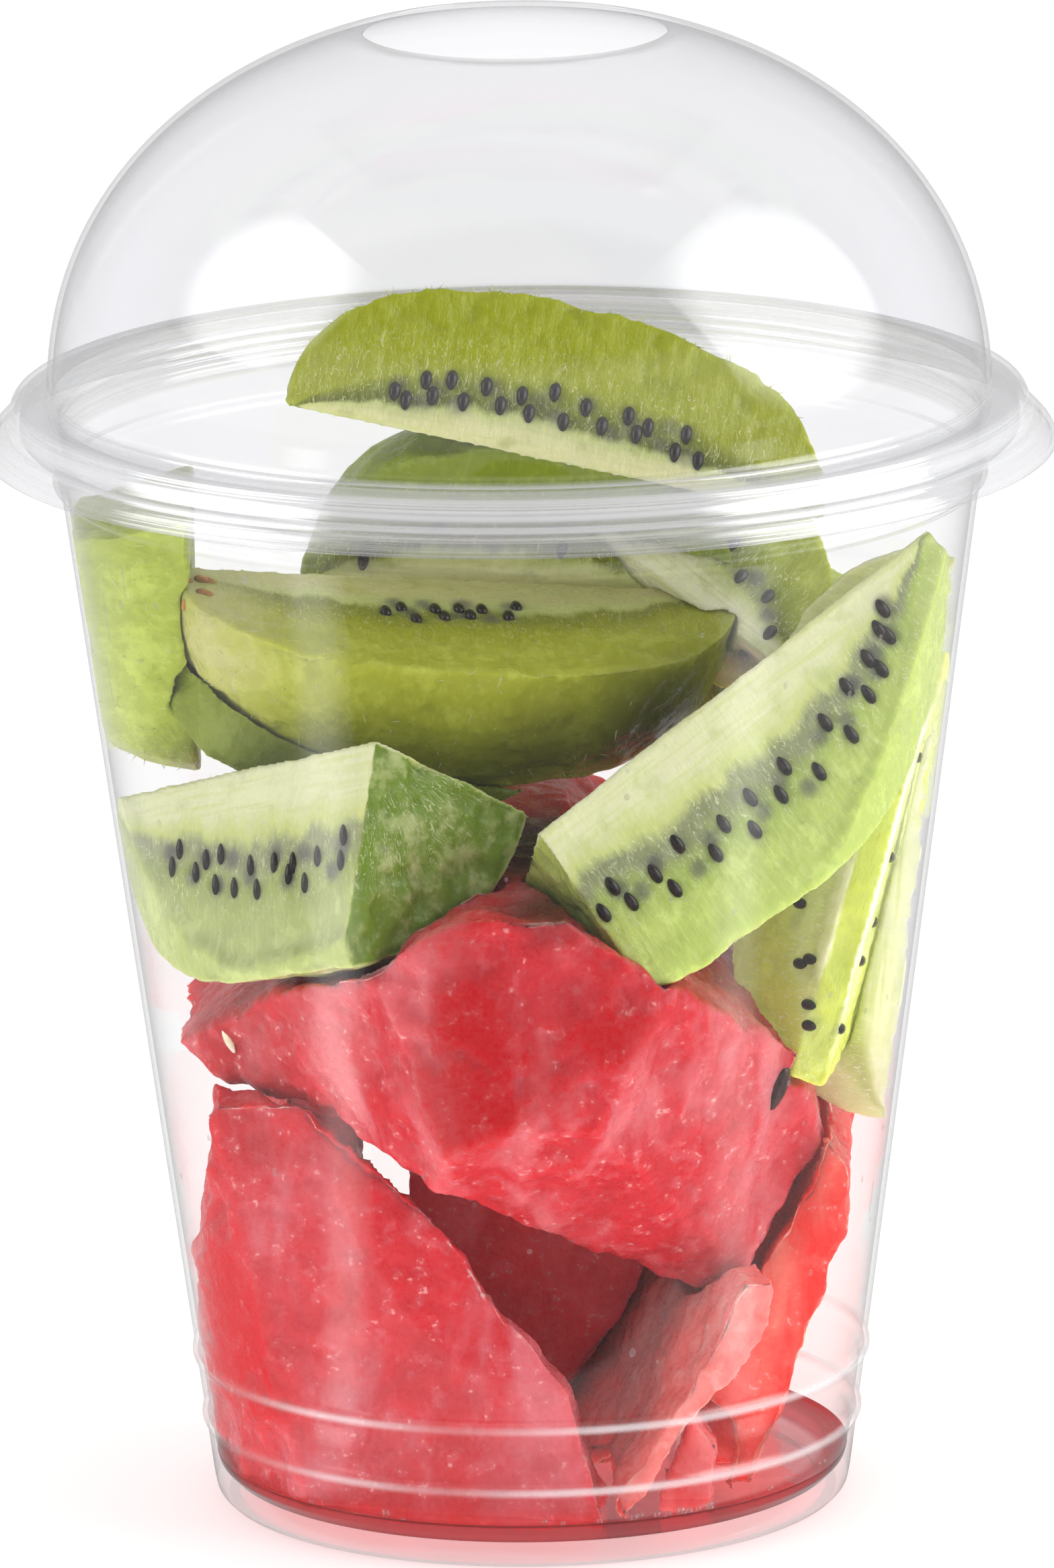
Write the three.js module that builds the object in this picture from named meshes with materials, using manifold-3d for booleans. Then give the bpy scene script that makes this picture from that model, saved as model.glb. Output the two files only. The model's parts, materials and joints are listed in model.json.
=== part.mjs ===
// Fruit cup: a clear plastic cup with a domed lid, filled with kiwi wedges over melon chunks.
// Millimetres, +Z up. The origin is the middle of the cup's foot, and the front of the cup
// faces -Y. Every piece is a closed solid in a mesh of its own.

import * as THREE from 'three';
import { mergeVertices } from 'three/addons/utils/BufferGeometryUtils.js';
import Module from 'manifold-3d';

const wasm = await Module();
wasm.setup();

// ---- Driving dimensions (mm, degrees) ----

const PLASTIC = 0.5;          // thickness of the cup's wall and of the lid
const GAP = 0.3;              // air between neighbouring pieces
const ROUND_STEPS = 44;       // facets round the cup and the lid

const FOOT = { radius: 29.2, width: 1.6, slope: 1.2, round: 0.8 }; // flat ring that it stands on
const FLOOR_TOP = 2.2;        // inside floor, raised on the foot ring
const FLOOR_THICKNESS = 0.6;
const FLOOR_FILLET = 1.2;     // between the inside floor and the wall
const WALL_START = { radius: 30.3, height: 2.3 };
const WALL_SLOPE = 0.135;     // radius gained for each mm of height
const RIB_HEIGHTS = [7.7, 13.9];
const RIB_DEPTH = 0.35;       // how far the two low ribs stand out
const RIB_REACH = 1.0;        // half the height of a rib
const LEDGE = { height: 98.6, depth: 0.7, reach: 0.8 };
const NECK_HEIGHT = 101.4;    // where the wall turns out into the rolled rim
const BEAD = { inner: 43.4, outer: 47.0, bottom: 102.4, top: 105.8, round: 0.8 };

const SKIRT = { radius: 50.5, bottom: 101.7, waist: 47.9, height: 4.0, steps: 4 };
const FLANGE_TOP = 106.7;
const FLANGE_ROUND = 1.2;     // rounding between the skirt and the flat flange
const DOME_RADIUS = 44.4;
const DOME_FILLET = 0.5;      // between the flange and the dome
const DOME_APEX = 142.7;      // where the dome would close if it had no hole
const HOLE_RADIUS = 14.4;
const HOLE_LAND = 1.0;        // plain ring left round the hole
const DOME_SHOULDER = 2.12;   // exponent of the dome's outline: 2 is an ellipse
const DOME_STEPS = 12;

const KIWI_SHAPE = 2.4;       // exponent of a kiwi's outline, blunter than an ellipse
const KIWI_STEPS = { along: 12, round: 28 };
const SEED = { length: 2.6, width: 1.8, thickness: 1.2, sunk: 0.1 };
const SEED_RING = { along: 0.80, out: 0.46, spread: 0.11, from: 18, to: 162 };
const SEED_JITTER = { along: 0.5, out: 0.4 };
const SCATTER = { step: 12.9898, salt: 78.233, stretch: 43758.5453 };
const MELON_SEED = { length: 4.6, width: 2.4, thickness: 1.4 };
const SEED_ROUNDING = 1;      // times that an octahedron is split to make a seed
const FOOD_TOP = { width: 40.4, shoulder: 10, height: 22 }; // room for food, over the flange
const MERGE_WITHIN = 1e-4;    // corners nearer than this are one corner

// ---- Colours and finishes ----

const finish = (color, roughness, extra = {}) =>
  new THREE.MeshStandardMaterial({ color, roughness, metalness: 0, ...extra });
const CLEAR = finish(0xf2f4f5, 0.06, { transparent: true, opacity: 0.25 });
const KIWI = finish(0x9fbf3f, 0.35);
const MELON = finish(0xd8434c, 0.4);

// ---- Solids from three.js shapes ----

// Closed three.js shape -> solid: shared corners are merged and empty triangles dropped.
function solid(geometry) {
  geometry.deleteAttribute('normal');
  geometry.deleteAttribute('uv');
  const merged = mergeVertices(geometry, MERGE_WITHIN);
  const corners = merged.index.array;
  const kept = [];
  for (let i = 0; i < corners.length; i += 3) {
    const [a, b, c] = [corners[i], corners[i + 1], corners[i + 2]];
    if (a !== b && b !== c && c !== a) kept.push(a, b, c);
  }
  return new wasm.Manifold(new wasm.Mesh({
    numProp: 3,
    vertProperties: new Float32Array(merged.attributes.position.array),
    triVerts: new Uint32Array(kept),
  }));
}

function meshOf(name, body, material) {
  const { vertProperties, triVerts } = body.getMesh();
  const geometry = new THREE.BufferGeometry();
  geometry.setAttribute('position', new THREE.BufferAttribute(vertProperties, 3));
  geometry.setIndex(new THREE.BufferAttribute(triVerts, 1));
  geometry.computeVertexNormals();
  const mesh = new THREE.Mesh(geometry, material);
  mesh.name = name;
  return mesh;
}

// Solid of revolution round Z from an outline of [radius, height] pairs, listed upwards on
// the outside and back down on the inside.
function turned(outline, steps = ROUND_STEPS) {
  const points = outline.map(([radius, height]) => new THREE.Vector2(radius, height));
  return solid(new THREE.LatheGeometry(points, steps).rotateX(Math.PI / 2));
}

const vector = (v) => new THREE.Vector3(...v);
const UP = new THREE.Vector3(0, 0, 1);

// Everything on the outer side of a plane, as one block larger than the cup. grow moves the
// plane outwards.
function beyond(point, normal, grow = 0) {
  const size = 2 * (DOME_APEX + GAP);
  const block = new THREE.BoxGeometry(size, size, size).translate(0, 0, size / 2 + grow);
  block.applyQuaternion(new THREE.Quaternion().setFromUnitVectors(UP, vector(normal).normalize()));
  return solid(block.translate(...point));
}

const cutBy = (body, cutters) => cutters.reduce((rest, cutter) => rest.subtract(cutter), body);

// ---- Cup ----

const wallRadius = (height) =>
  WALL_START.radius + WALL_SLOPE * (height - WALL_START.height);

// Outline of the wall, going up, at a distance inside the outer face.
function wallOutline(inset) {
  const at = (height, out = 0) => [wallRadius(height) + out - inset, height];
  const bump = (height, depth, reach) =>
    [at(height - reach), at(height, depth), at(height + reach)];
  return [
    ...RIB_HEIGHTS.flatMap((height) => bump(height, RIB_DEPTH, RIB_REACH)),
    ...bump(LEDGE.height, LEDGE.depth, LEDGE.reach),
  ];
}

function cup() {
  const footInner = FOOT.radius - FOOT.width;
  const under = FLOOR_TOP - FLOOR_THICKNESS;
  return turned([
    [0, under],
    [footInner - FOOT.slope, under],
    [footInner, 0],
    [FOOT.radius, 0],
    [FOOT.radius + FOOT.round, FOOT.round],
    [WALL_START.radius, WALL_START.height],
    ...wallOutline(0),
    [wallRadius(NECK_HEIGHT), NECK_HEIGHT],
    [wallRadius(NECK_HEIGHT) + BEAD.round, BEAD.bottom],
    [BEAD.outer - BEAD.round, BEAD.bottom],
    [BEAD.outer, BEAD.bottom + BEAD.round],
    [BEAD.outer, BEAD.top - BEAD.round],
    [BEAD.outer - BEAD.round, BEAD.top],
    [BEAD.inner + BEAD.round, BEAD.top],
    [BEAD.inner, BEAD.top - BEAD.round],
    ...wallOutline(PLASTIC).reverse(),
    [WALL_START.radius - PLASTIC, FLOOR_TOP + FLOOR_FILLET],
    [WALL_START.radius - PLASTIC - FLOOR_FILLET, FLOOR_TOP],
    [0, FLOOR_TOP],
  ]);
}

// ---- Lid ----

// Height above the flange of the dome's outer face, at a radius from the axis.
function domeHeight(radius) {
  const rise = DOME_APEX - FLANGE_TOP;
  return FLANGE_TOP + rise * (1 - (radius / DOME_RADIUS) ** DOME_SHOULDER) ** (1 / DOME_SHOULDER);
}

// The dome's outer outline from its foot up to the hole.
function domeOutline() {
  const points = [];
  for (let i = 0; i <= DOME_STEPS; i += 1) {
    const angle = (i / DOME_STEPS) * Math.PI / 2;
    const radius = DOME_RADIUS * Math.cos(angle) ** (2 / DOME_SHOULDER);
    if (radius > HOLE_RADIUS + HOLE_LAND) points.push([radius, domeHeight(radius)]);
  }
  return [...points, [HOLE_RADIUS, domeHeight(HOLE_RADIUS)]];
}

// An outline moved inwards by the plastic's thickness, square to its own direction.
function inwards(outline, distance) {
  return outline.map((point, i) => {
    const before = outline[Math.max(i - 1, 0)];
    const after = outline[Math.min(i + 1, outline.length - 1)];
    const along = new THREE.Vector2(after[0] - before[0], after[1] - before[1]).normalize();
    return [point[0] - along.y * distance, point[1] + along.x * distance];
  });
}

// The skirt's outer outline: wide at its lower lip, drawn in to a waist, rounded at the top.
function skirtOutline() {
  const points = [];
  for (let i = 0; i <= SKIRT.steps; i += 1) {
    const drawnIn = THREE.MathUtils.smoothstep(i, 0, SKIRT.steps);
    points.push([
      SKIRT.radius + (SKIRT.waist - SKIRT.radius) * drawnIn,
      SKIRT.bottom + SKIRT.height * (i / SKIRT.steps),
    ]);
  }
  const rounded = (angle) => [
    SKIRT.waist - FLANGE_ROUND * (1 - Math.cos(angle)),
    FLANGE_TOP - FLANGE_ROUND * (1 - Math.sin(angle)),
  ];
  return [...points, rounded(Math.PI / 4), rounded(Math.PI / 2)];
}

function lid() {
  const outer = [...skirtOutline(), [DOME_RADIUS + DOME_FILLET, FLANGE_TOP], ...domeOutline()];
  return turned([...outer, ...inwards(outer, PLASTIC).reverse(), outer[0]]);
}

// ---- Food ----

// The space that food can fill: inside the wall and over the floor, GAP clear of both.
const INSIDE = turned([
  [0, FLOOR_TOP + GAP],
  [wallRadius(FLOOR_TOP) - PLASTIC - FLOOR_FILLET - GAP, FLOOR_TOP + GAP],
  [wallRadius(FLOOR_TOP + FLOOR_FILLET) - PLASTIC - GAP, FLOOR_TOP + FLOOR_FILLET + GAP],
  [wallRadius(NECK_HEIGHT) - PLASTIC - GAP, NECK_HEIGHT],
  [FOOD_TOP.width, FLANGE_TOP + FOOD_TOP.shoulder],
  [0, FLANGE_TOP + FOOD_TOP.height],
]);

// A repeatable number from 0 to 1 for the i-th seed of a piece.
function scatter(i, salt) {
  const value = Math.sin(i * SCATTER.step + salt * SCATTER.salt) * SCATTER.stretch;
  return value - Math.floor(value);
}

// A rounded seed of the given sizes, centred on the origin. grow makes it larger all round.
function seedShape(sizes, grow) {
  return new THREE.OctahedronGeometry(0.5, SEED_ROUNDING)
    .scale(...sizes.map((size) => size + 2 * grow));
}

// A kiwi cut lengthwise. Its core edge, where the two cut faces meet, runs between two points.
// lean is the angle from straight up to the middle of the flesh, turned about the core edge.
class KiwiWedge {
  constructor({ name, from, to, radius, angle, lean, seeds, ring = SEED_RING.out, facets = [] }) {
    Object.assign(this, { name, radius, angle, seeds, ring, facets });
    const [start, end] = [vector(from), vector(to)];
    this.half = start.distanceTo(end) / 2;
    this.middle = start.clone().add(end).divideScalar(2);
    const along = end.clone().sub(start).normalize();
    const up = UP.clone().addScaledVector(along, -along.z).normalize();
    const middleOfFlesh = up.applyAxisAngle(along, THREE.MathUtils.degToRad(lean));
    const side = new THREE.Vector3().crossVectors(middleOfFlesh, along);
    this.frame = new THREE.Matrix4().makeBasis(along, side, middleOfFlesh).setPosition(this.middle);
  }

  // Whole kiwi, as an outline turned round its core. grow makes it larger all round.
  whole(grow) {
    const points = [];
    for (let i = 0; i <= KIWI_STEPS.along; i += 1) {
      const angle = (i / KIWI_STEPS.along) * Math.PI;
      const reach = Math.sign(Math.cos(angle)) * Math.abs(Math.cos(angle)) ** (2 / KIWI_SHAPE);
      const out = Math.sin(angle) ** (2 / KIWI_SHAPE);
      points.push(new THREE.Vector2(out * (this.radius + grow), -reach * (this.half + grow)));
    }
    points[0].x = 0;
    points[KIWI_STEPS.along].x = 0;
    return solid(new THREE.LatheGeometry(points, KIWI_STEPS.round).rotateZ(-Math.PI / 2));
  }

  // Turned so that the flesh's middle points along the wedge's own Z.
  body(grow = 0) {
    const half = THREE.MathUtils.degToRad(this.angle / 2);
    const sides = [-1, 1].map((way) =>
      beyond([0, 0, 0], [0, way * Math.cos(half), -Math.sin(half)], grow));
    const local = cutBy(this.whole(grow), sides);
    return cutBy(local.transform(this.frame.elements), this.facetCutters(grow));
  }

  facetCutters(grow = 0) {
    return this.facets.map(({ at, faces }) => beyond(at, faces, grow));
  }

  // The seeds that stand out of one cut face (way is -1 or 1), in a ring round the core.
  seedsOn(way, count, grow) {
    const half = THREE.MathUtils.degToRad(this.angle / 2);
    const outwards = new THREE.Vector3(0, way * Math.sin(half), Math.cos(half));
    const square = new THREE.Vector3(0, way * Math.cos(half), -Math.sin(half));
    const along = new THREE.Vector3(1, 0, 0);
    const turn = new THREE.Matrix4().makeBasis(outwards, square, along);
    if (turn.determinant() < 0) turn.makeBasis(outwards, square, along.clone().negate());
    return Array.from({ length: count }, (_, i) => {
      const jitter = scatter(i, this.radius + way) - 0.5;
      const step = (i + 0.5 + jitter * SEED_JITTER.along) / count;
      const angle = THREE.MathUtils.degToRad(
        SEED_RING.from + (SEED_RING.to - SEED_RING.from) * step);
      const out = this.ring + SEED_RING.spread * ((i % 2) - 0.5 + jitter * SEED_JITTER.out);
      const place = along.clone().multiplyScalar(Math.cos(angle) * SEED_RING.along * this.half)
        .addScaledVector(outwards, Math.sin(angle) * out * this.radius)
        .addScaledVector(square, -SEED.sunk);
      const seed = seedShape([SEED.length, SEED.thickness, SEED.width], grow)
        .applyMatrix4(turn.clone().setPosition(place))
        .applyMatrix4(this.frame);
      return cutBy(solid(seed), this.facetCutters(grow));
    });
  }

  allSeeds(grow = 0) {
    return [-1, 1].flatMap((way, side) => this.seedsOn(way, this.seeds[side], grow));
  }
}

// An outline of [x, z] pairs with every side moved outwards.
function widened(outline, distance) {
  const count = outline.length;
  const square = outline.map(([x, z], i) => {
    const [nextX, nextZ] = outline[(i + 1) % count];
    return new THREE.Vector2(nextZ - z, x - nextX).normalize();
  });
  return outline.map(([x, z], i) => {
    const sum = square[i].clone().add(square[(i + count - 1) % count]);
    const reach = distance / sum.dot(square[i]);
    return [x + sum.x * reach, z + sum.y * reach];
  });
}

// A melon chunk: an outline seen from the front, [x, z] pairs listed anticlockwise, cut from
// front to back between two depths, then trimmed by slanting faces. swing is how far the cut
// turns aside on its way back.
class MelonChunk {
  constructor({ name, outline, front, back, swing = 0, faces = [], seeds = [] }) {
    Object.assign(this, { name, outline, front, back, faces, seeds });
    this.drift = Math.tan(THREE.MathUtils.degToRad(swing));
  }

  body(grow = 0) {
    const shape = new THREE.Shape(
      widened(this.outline, grow).map(([x, z]) => new THREE.Vector2(x, z)));
    const depth = this.back - this.front + 2 * grow;
    const slab = new THREE.ExtrudeGeometry(shape, { depth, bevelEnabled: false })
      .rotateX(Math.PI / 2)
      .translate(0, this.back + grow, 0)
      .applyMatrix4(new THREE.Matrix4().makeShear(0, 0, this.drift, 0, 0, 0)
        .multiply(new THREE.Matrix4().makeTranslation(0, -this.front, 0)))
      .translate(0, this.front, 0);
    return cutBy(solid(slab), this.faces.map(({ at, faces }) => beyond(at, faces, grow)));
  }

  // Seeds that stand out of a slanting face, longest upwards.
  allSeeds(grow = 0) {
    return this.seeds.map(({ at, faces }) => {
      const out = vector(faces).normalize();
      const upwards = UP.clone().addScaledVector(out, -out.z).normalize();
      const turn = new THREE.Matrix4().makeBasis(
        new THREE.Vector3().crossVectors(out, upwards), out, upwards);
      const { width, thickness, length } = MELON_SEED;
      return solid(seedShape([width, thickness, length], grow)
        .applyMatrix4(turn.setPosition(...at)));
    });
  }
}

// In the order in which they keep their shape: each piece gives way to those before it.
const PIECES = [
  new KiwiWedge({
    name: 'kiwi_front_left', from: [-41, -5, 68.5], to: [-2, -39, 85], radius: 21, angle: 75,
    lean: -161, seeds: [4, 12], ring: 0.52, facets: [{ at: [-14, -29, 80], faces: [0.57, -0.81, 0.13] }],
  }),
  new KiwiWedge({
    name: 'kiwi_front_right', from: [-11, -39, 64], to: [38, -14, 96], radius: 20.5, angle: 70,
    lean: -163, seeds: [6, 16], ring: 0.55, facets: [{ at: [1, -33, 72], faces: [-0.78, -0.4, -0.48] }],
  }),
  new KiwiWedge({
    name: 'kiwi_across', from: [-33, -4, 91], to: [20, 5, 86], radius: 20, angle: 80,
    lean: 144, seeds: [10, 6], ring: 0.36,
  }),
  new KiwiWedge({
    name: 'kiwi_top', from: [-22, -8, 107], to: [28.5, -4, 94.4], radius: 17.5, angle: 50,
    lean: -64, seeds: [12, 6], ring: 0.34,
  }),
  new KiwiWedge({
    name: 'kiwi_low_left', from: [-33.5, -3.5, 80], to: [2, 1, 72], radius: 11.5, angle: 100,
    lean: 81, seeds: [0, 3],
  }),
  new KiwiWedge({
    name: 'kiwi_left', from: [-30.5, 7, 69], to: [-31, 7.5, 116], radius: 16.5, angle: 90,
    lean: -91, seeds: [4, 4], facets: [{ at: [-30, 0, 98], faces: [-0.3, -0.1, 1] }],
  }),
  new KiwiWedge({
    name: 'kiwi_behind', from: [-6, 6, 102], to: [26, -4, 79], radius: 19, angle: 70,
    lean: -94, seeds: [6, 6],
  }),
  new KiwiWedge({
    name: 'kiwi_under_top', from: [-21, 4, 95], to: [20, 6, 90], radius: 10, angle: 90,
    lean: -22, seeds: [4, 4],
  }),
  new KiwiWedge({
    name: 'kiwi_low_right', from: [27.3, -22, 44], to: [39.3, -12, 84], radius: 22, angle: 42,
    lean: -117, seeds: [8, 4], facets: [{ at: [33, -13.6, 63], faces: [0, -0.97, 0.23] }],
  }),
  new KiwiWedge({
    name: 'kiwi_wall_right', from: [33.5, -8, 37], to: [40.5, -8, 92], radius: 18, angle: 60,
    lean: -48, seeds: [5, 5],
  }),
  new KiwiWedge({
    name: 'kiwi_back_left', from: [-31, 12, 82], to: [6, 24, 80], radius: 19, angle: 85,
    lean: -145, seeds: [4, 4],
  }),
  new KiwiWedge({
    name: 'kiwi_back_right', from: [2, 28, 84], to: [34, 8, 80], radius: 19, angle: 85,
    lean: -127, seeds: [4, 4],
  }),
  new MelonChunk({
    name: 'melon_left', front: -40, back: 6,
    outline: [[-30, 43], [-30.5, 32], [-32, 22], [-32, 1], [8, 1], [4, 16], [-14, 39.5], [-19, 43.5]],
    faces: [
      { at: [-25, -20, 20], faces: [-0.24, -0.97, 0] },
      { at: [-4.3, -24.4, 28.6], faces: [0.62, 0.55, 0.56] },
    ],
  }),
  new MelonChunk({
    name: 'melon_top', front: -40, back: 31,
    outline: [[-33, 46], [-29, 42], [-19, 41.5], [16, 22], [20, 23], [28, 36], [26, 47], [4, 65],
      [-6, 65], [-24, 54]],
    faces: [
      { at: [-14, -33, 53], faces: [-0.69, -0.64, -0.33] },
      { at: [13, -33, 54], faces: [0.65, -0.71, -0.27] },
      { at: [0, -35, 42.6], faces: [0.05, -0.7, -0.7] },
    ],
    seeds: [{ at: [24, -18.7, 43], faces: [0.65, -0.71, -0.27] }],
  }),
  new MelonChunk({
    name: 'melon_leaning', front: -26, back: 8, swing: -12,
    outline: [[5, 3], [8, 1], [14, 10], [23, 22], [24, 26], [20, 27], [12, 12]],
  }),
  new MelonChunk({
    name: 'melon_small', front: -20, back: -8,
    outline: [[11, 1], [17, 1], [18, 9], [15, 12]],
  }),
  new MelonChunk({
    name: 'melon_right', front: -14, back: 24,
    outline: [[14, 1], [21, 1], [30, 28], [31, 34], [28, 38], [16, 38]],
  }),
  new MelonChunk({
    name: 'melon_back', front: -2, back: 28,
    outline: [[-11.5, 1], [14, 1], [14, 30], [4, 34], [-11.5, 31]],
  }),
  new MelonChunk({
    name: 'melon_back_left', front: 4, back: 30,
    outline: [[-27, 1], [-14, 1], [-16, 34], [-23, 38], [-28.5, 32]],
  }),
];

// The largest of the separate bodies that cutting leaves.
function largest(body) {
  return body.decompose().sort((one, other) => other.volume() - one.volume())[0];
}

// Each piece is kept inside the cup and clear of the pieces before it.
function fleshOfAll() {
  const kept = [];
  return PIECES.map((piece) => {
    const clear = kept.map((earlier) => earlier.body(GAP));
    kept.push(piece);
    return largest(cutBy(piece.body(), clear).intersect(INSIDE));
  });
}

// Seeds that would come within GAP of another piece or of the wall are left out.
function food() {
  const flesh = fleshOfAll();
  const solids = [...flesh];
  return PIECES.map((piece, i) => {
    const others = solids.filter((_, j) => j !== i);
    const roomy = piece.allSeeds(GAP);
    const seeds = piece.allSeeds().filter((_, k) =>
      others.every((other) => other.intersect(roomy[k]).isEmpty())
        && roomy[k].subtract(INSIDE).isEmpty());
    solids[i] = largest(seeds.reduce((all, seed) => all.add(seed), flesh[i]));
    return meshOf(piece.name, solids[i], piece instanceof KiwiWedge ? KIWI : MELON);
  });
}

const fruitCup = new THREE.Group();
fruitCup.add(meshOf('cup', cup(), CLEAR), meshOf('lid', lid(), CLEAR), ...food());

export default fruitCup;
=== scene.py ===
"""Fruit cup: a clear domed cup of kiwi wedges over melon chunks.

Shapes are worked out in millimetres and scaled to metres when a piece is finished.
"""

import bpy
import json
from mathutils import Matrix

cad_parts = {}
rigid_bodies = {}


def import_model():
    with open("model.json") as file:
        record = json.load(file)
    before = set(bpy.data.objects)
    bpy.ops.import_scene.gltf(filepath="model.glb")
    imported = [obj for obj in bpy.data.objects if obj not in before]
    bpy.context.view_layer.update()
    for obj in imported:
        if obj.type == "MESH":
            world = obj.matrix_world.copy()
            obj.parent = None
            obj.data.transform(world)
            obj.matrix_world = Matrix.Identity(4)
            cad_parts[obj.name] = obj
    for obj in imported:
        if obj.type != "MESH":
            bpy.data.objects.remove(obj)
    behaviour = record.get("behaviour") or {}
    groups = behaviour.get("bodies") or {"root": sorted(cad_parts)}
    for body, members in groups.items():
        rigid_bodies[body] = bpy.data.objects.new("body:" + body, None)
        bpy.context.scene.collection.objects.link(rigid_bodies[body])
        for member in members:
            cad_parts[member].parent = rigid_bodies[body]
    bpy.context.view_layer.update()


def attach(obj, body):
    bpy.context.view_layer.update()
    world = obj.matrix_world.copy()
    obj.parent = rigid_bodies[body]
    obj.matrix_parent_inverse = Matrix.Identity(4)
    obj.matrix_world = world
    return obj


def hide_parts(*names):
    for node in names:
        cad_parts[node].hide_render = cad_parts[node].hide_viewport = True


bl_info = {
    "name": "Fruit cup",
    "version": (1, 0, 0),
    "blender": (4, 5, 0),
    "location": "3D View > Sidebar > Fruit cup",
    "description": "Builds a clear domed cup filled with kiwi wedges and melon chunks",
    "category": "Add Mesh",
}

import json
import math
import random

import bmesh
import bpy
import numpy as np
from mathutils import Matrix, Quaternion, Vector, kdtree, noise

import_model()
MM = 0.001
WHITE = (1, 1, 1, 1)

# ---- Sizes shared with the solids (mm, degrees) ----

GAP = 0.3                # air between neighbouring pieces
FOOT = {"radius": 29.2, "width": 1.6, "slope": 1.2, "round": 0.8}
FLOOR_TOP = 2.2
FLOOR_THICKNESS = 0.6
FLOOR_FILLET = 1.2
WALL_START = {"radius": 30.3, "height": 2.3}
WALL_SLOPE = 0.135       # radius gained for each mm of height
RIB_HEIGHTS = (7.7, 13.9)
RIB_DEPTH = 0.35
RIB_REACH = 1.0
LEDGE = {"height": 98.6, "depth": 0.7, "reach": 0.8}
NECK_HEIGHT = 101.4
BEAD = {"inner": 43.4, "outer": 47.0, "bottom": 102.4, "top": 105.8, "round": 0.8}
SKIRT = {"radius": 50.5, "bottom": 101.7, "waist": 47.9, "height": 4.0}
FLANGE_TOP = 106.7
FLANGE_ROUND = 1.2
DOME_RADIUS = 44.4
DOME_FILLET = 0.5
DOME_APEX = 142.7
HOLE_RADIUS = 14.4
HOLE_LAND = 1.0
DOME_SHOULDER = 2.12     # exponent of the dome's outline: 2 is an ellipse
KIWI_SHAPE = 2.4         # exponent of a kiwi's outline, blunter than an ellipse
FOOD_TOP = {"width": 40.4, "shoulder": 10, "height": 22}

# ---- Fineness ----

CORNER = 0.3             # how far a turned outline's corners are rounded
CORNER_STEPS = 4
SUPPORT = 0.3            # rows added this near to each end of a long straight stretch
STRAIGHT = 2.0           # a stretch longer than this gets them
BUMP_STEPS = 8
SKIRT_STEPS = 14
FLANGE_STEPS = 6
DOME_STEPS = 48
KIWI_STEPS = (96, 64)
KIWI_VOXEL = 0.36
MELON_VOXEL = 0.45
KIWI_SMOOTHING = 8
MELON_SMOOTHING = 16
WALL_AIR = 0.12          # air between the plastic and fruit that isn't pressed to it
INTO_WALL = 0.08         # how far pressed fruit reaches into the plastic


def linear(code):
    """An sRGB colour code as linear red, green and blue."""
    values = [int(code[i:i + 2], 16) / 255 for i in (0, 2, 4)]
    return tuple(v / 12.92 if v <= 0.04045 else ((v + 0.055) / 1.055) ** 2.4 for v in values)


# ---- What a user would change ----

def colour(name, description, code):
    return bpy.props.FloatVectorProperty(
        name=name, description=description, subtype="COLOR", size=3, min=0, max=1,
        default=linear(code))


def length(name, description, millimetres):
    return bpy.props.FloatProperty(
        name=name, description=description, unit="LENGTH", min=0, precision=5,
        default=millimetres * MM)


def share(name, description, value):
    return bpy.props.FloatProperty(
        name=name, description=description, subtype="FACTOR", min=0, max=1, default=value)


class PlasticLook(bpy.types.PropertyGroup):
    thickness: length("Thickness", "Thickness of the cup's wall and of the lid", 0.5)
    steps: bpy.props.IntProperty(
        name="Steps", description="Faces round the cup and the lid", min=32, default=256)
    cup_tint: colour("Cup tint", "Colour of the cup's clear plastic", "FCFCFC")
    lid_tint: colour("Lid tint", "Colour of the lid's clear plastic", "F9F9FA")
    cloud: colour("Cloud", "Colour of the plastic's cloudiness", "EDEDEF")
    roughness: share("Roughness", "Softness of the plastic's reflections", 0.05)
    haze: share("Haze", "Cloudiness of each face of the plastic", 0.006)
    rim_haze: share("Rim haze", "Cloudiness of each face of the folded rim", 0.26)


class KiwiLook(bpy.types.PropertyGroup):
    core: colour("Core", "Colour of the pale core", "E2E4B8")
    fibre: colour("Fibre", "Colour of the pale threads round the core", "CFD78A")
    seed: colour("Seed", "Colour of a seed", "17100F")
    seed_length: length("Seed length", "Length of a seed", 2.1)
    seed_width: length("Seed width", "Width of a seed", 1.3)
    grain: length("Grain", "Depth of the threads that show on a cut face", 0.09)


class MelonLook(bpy.types.PropertyGroup):
    frost: colour("Frost", "Colour of the frosty grains", "F6B4B0")
    grain: length("Grain", "Depth of the flesh's grain", 0.22)
    waves: length("Waves", "Depth of the hollows in a cut face", 1.6)
    seed: colour("Seed", "Colour of a ripe seed", "2A1512")
    pale_seed: colour("Pale seed", "Colour of an unripe seed", "F2D9B0")


class JuiceLook(bpy.types.PropertyGroup):
    juice: colour("Juice", "Colour of the juice", "F6D6D8")
    juice_cloud: colour("Pulp", "Colour of the pulp in the juice", "C42630")
    depth: length("Depth", "Depth of the juice over the cup's floor", 1.6)
    drops: bpy.props.IntProperty(
        name="Drops", description="Drops on the inside of the wall", min=0, default=70)


class StageLook(bpy.types.PropertyGroup):
    floor: colour("Floor", "Colour of the floor", "F4F4F4")
    power: bpy.props.FloatProperty(
        name="Light", description="Strength of all the lights together", min=0, default=0.7)


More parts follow.
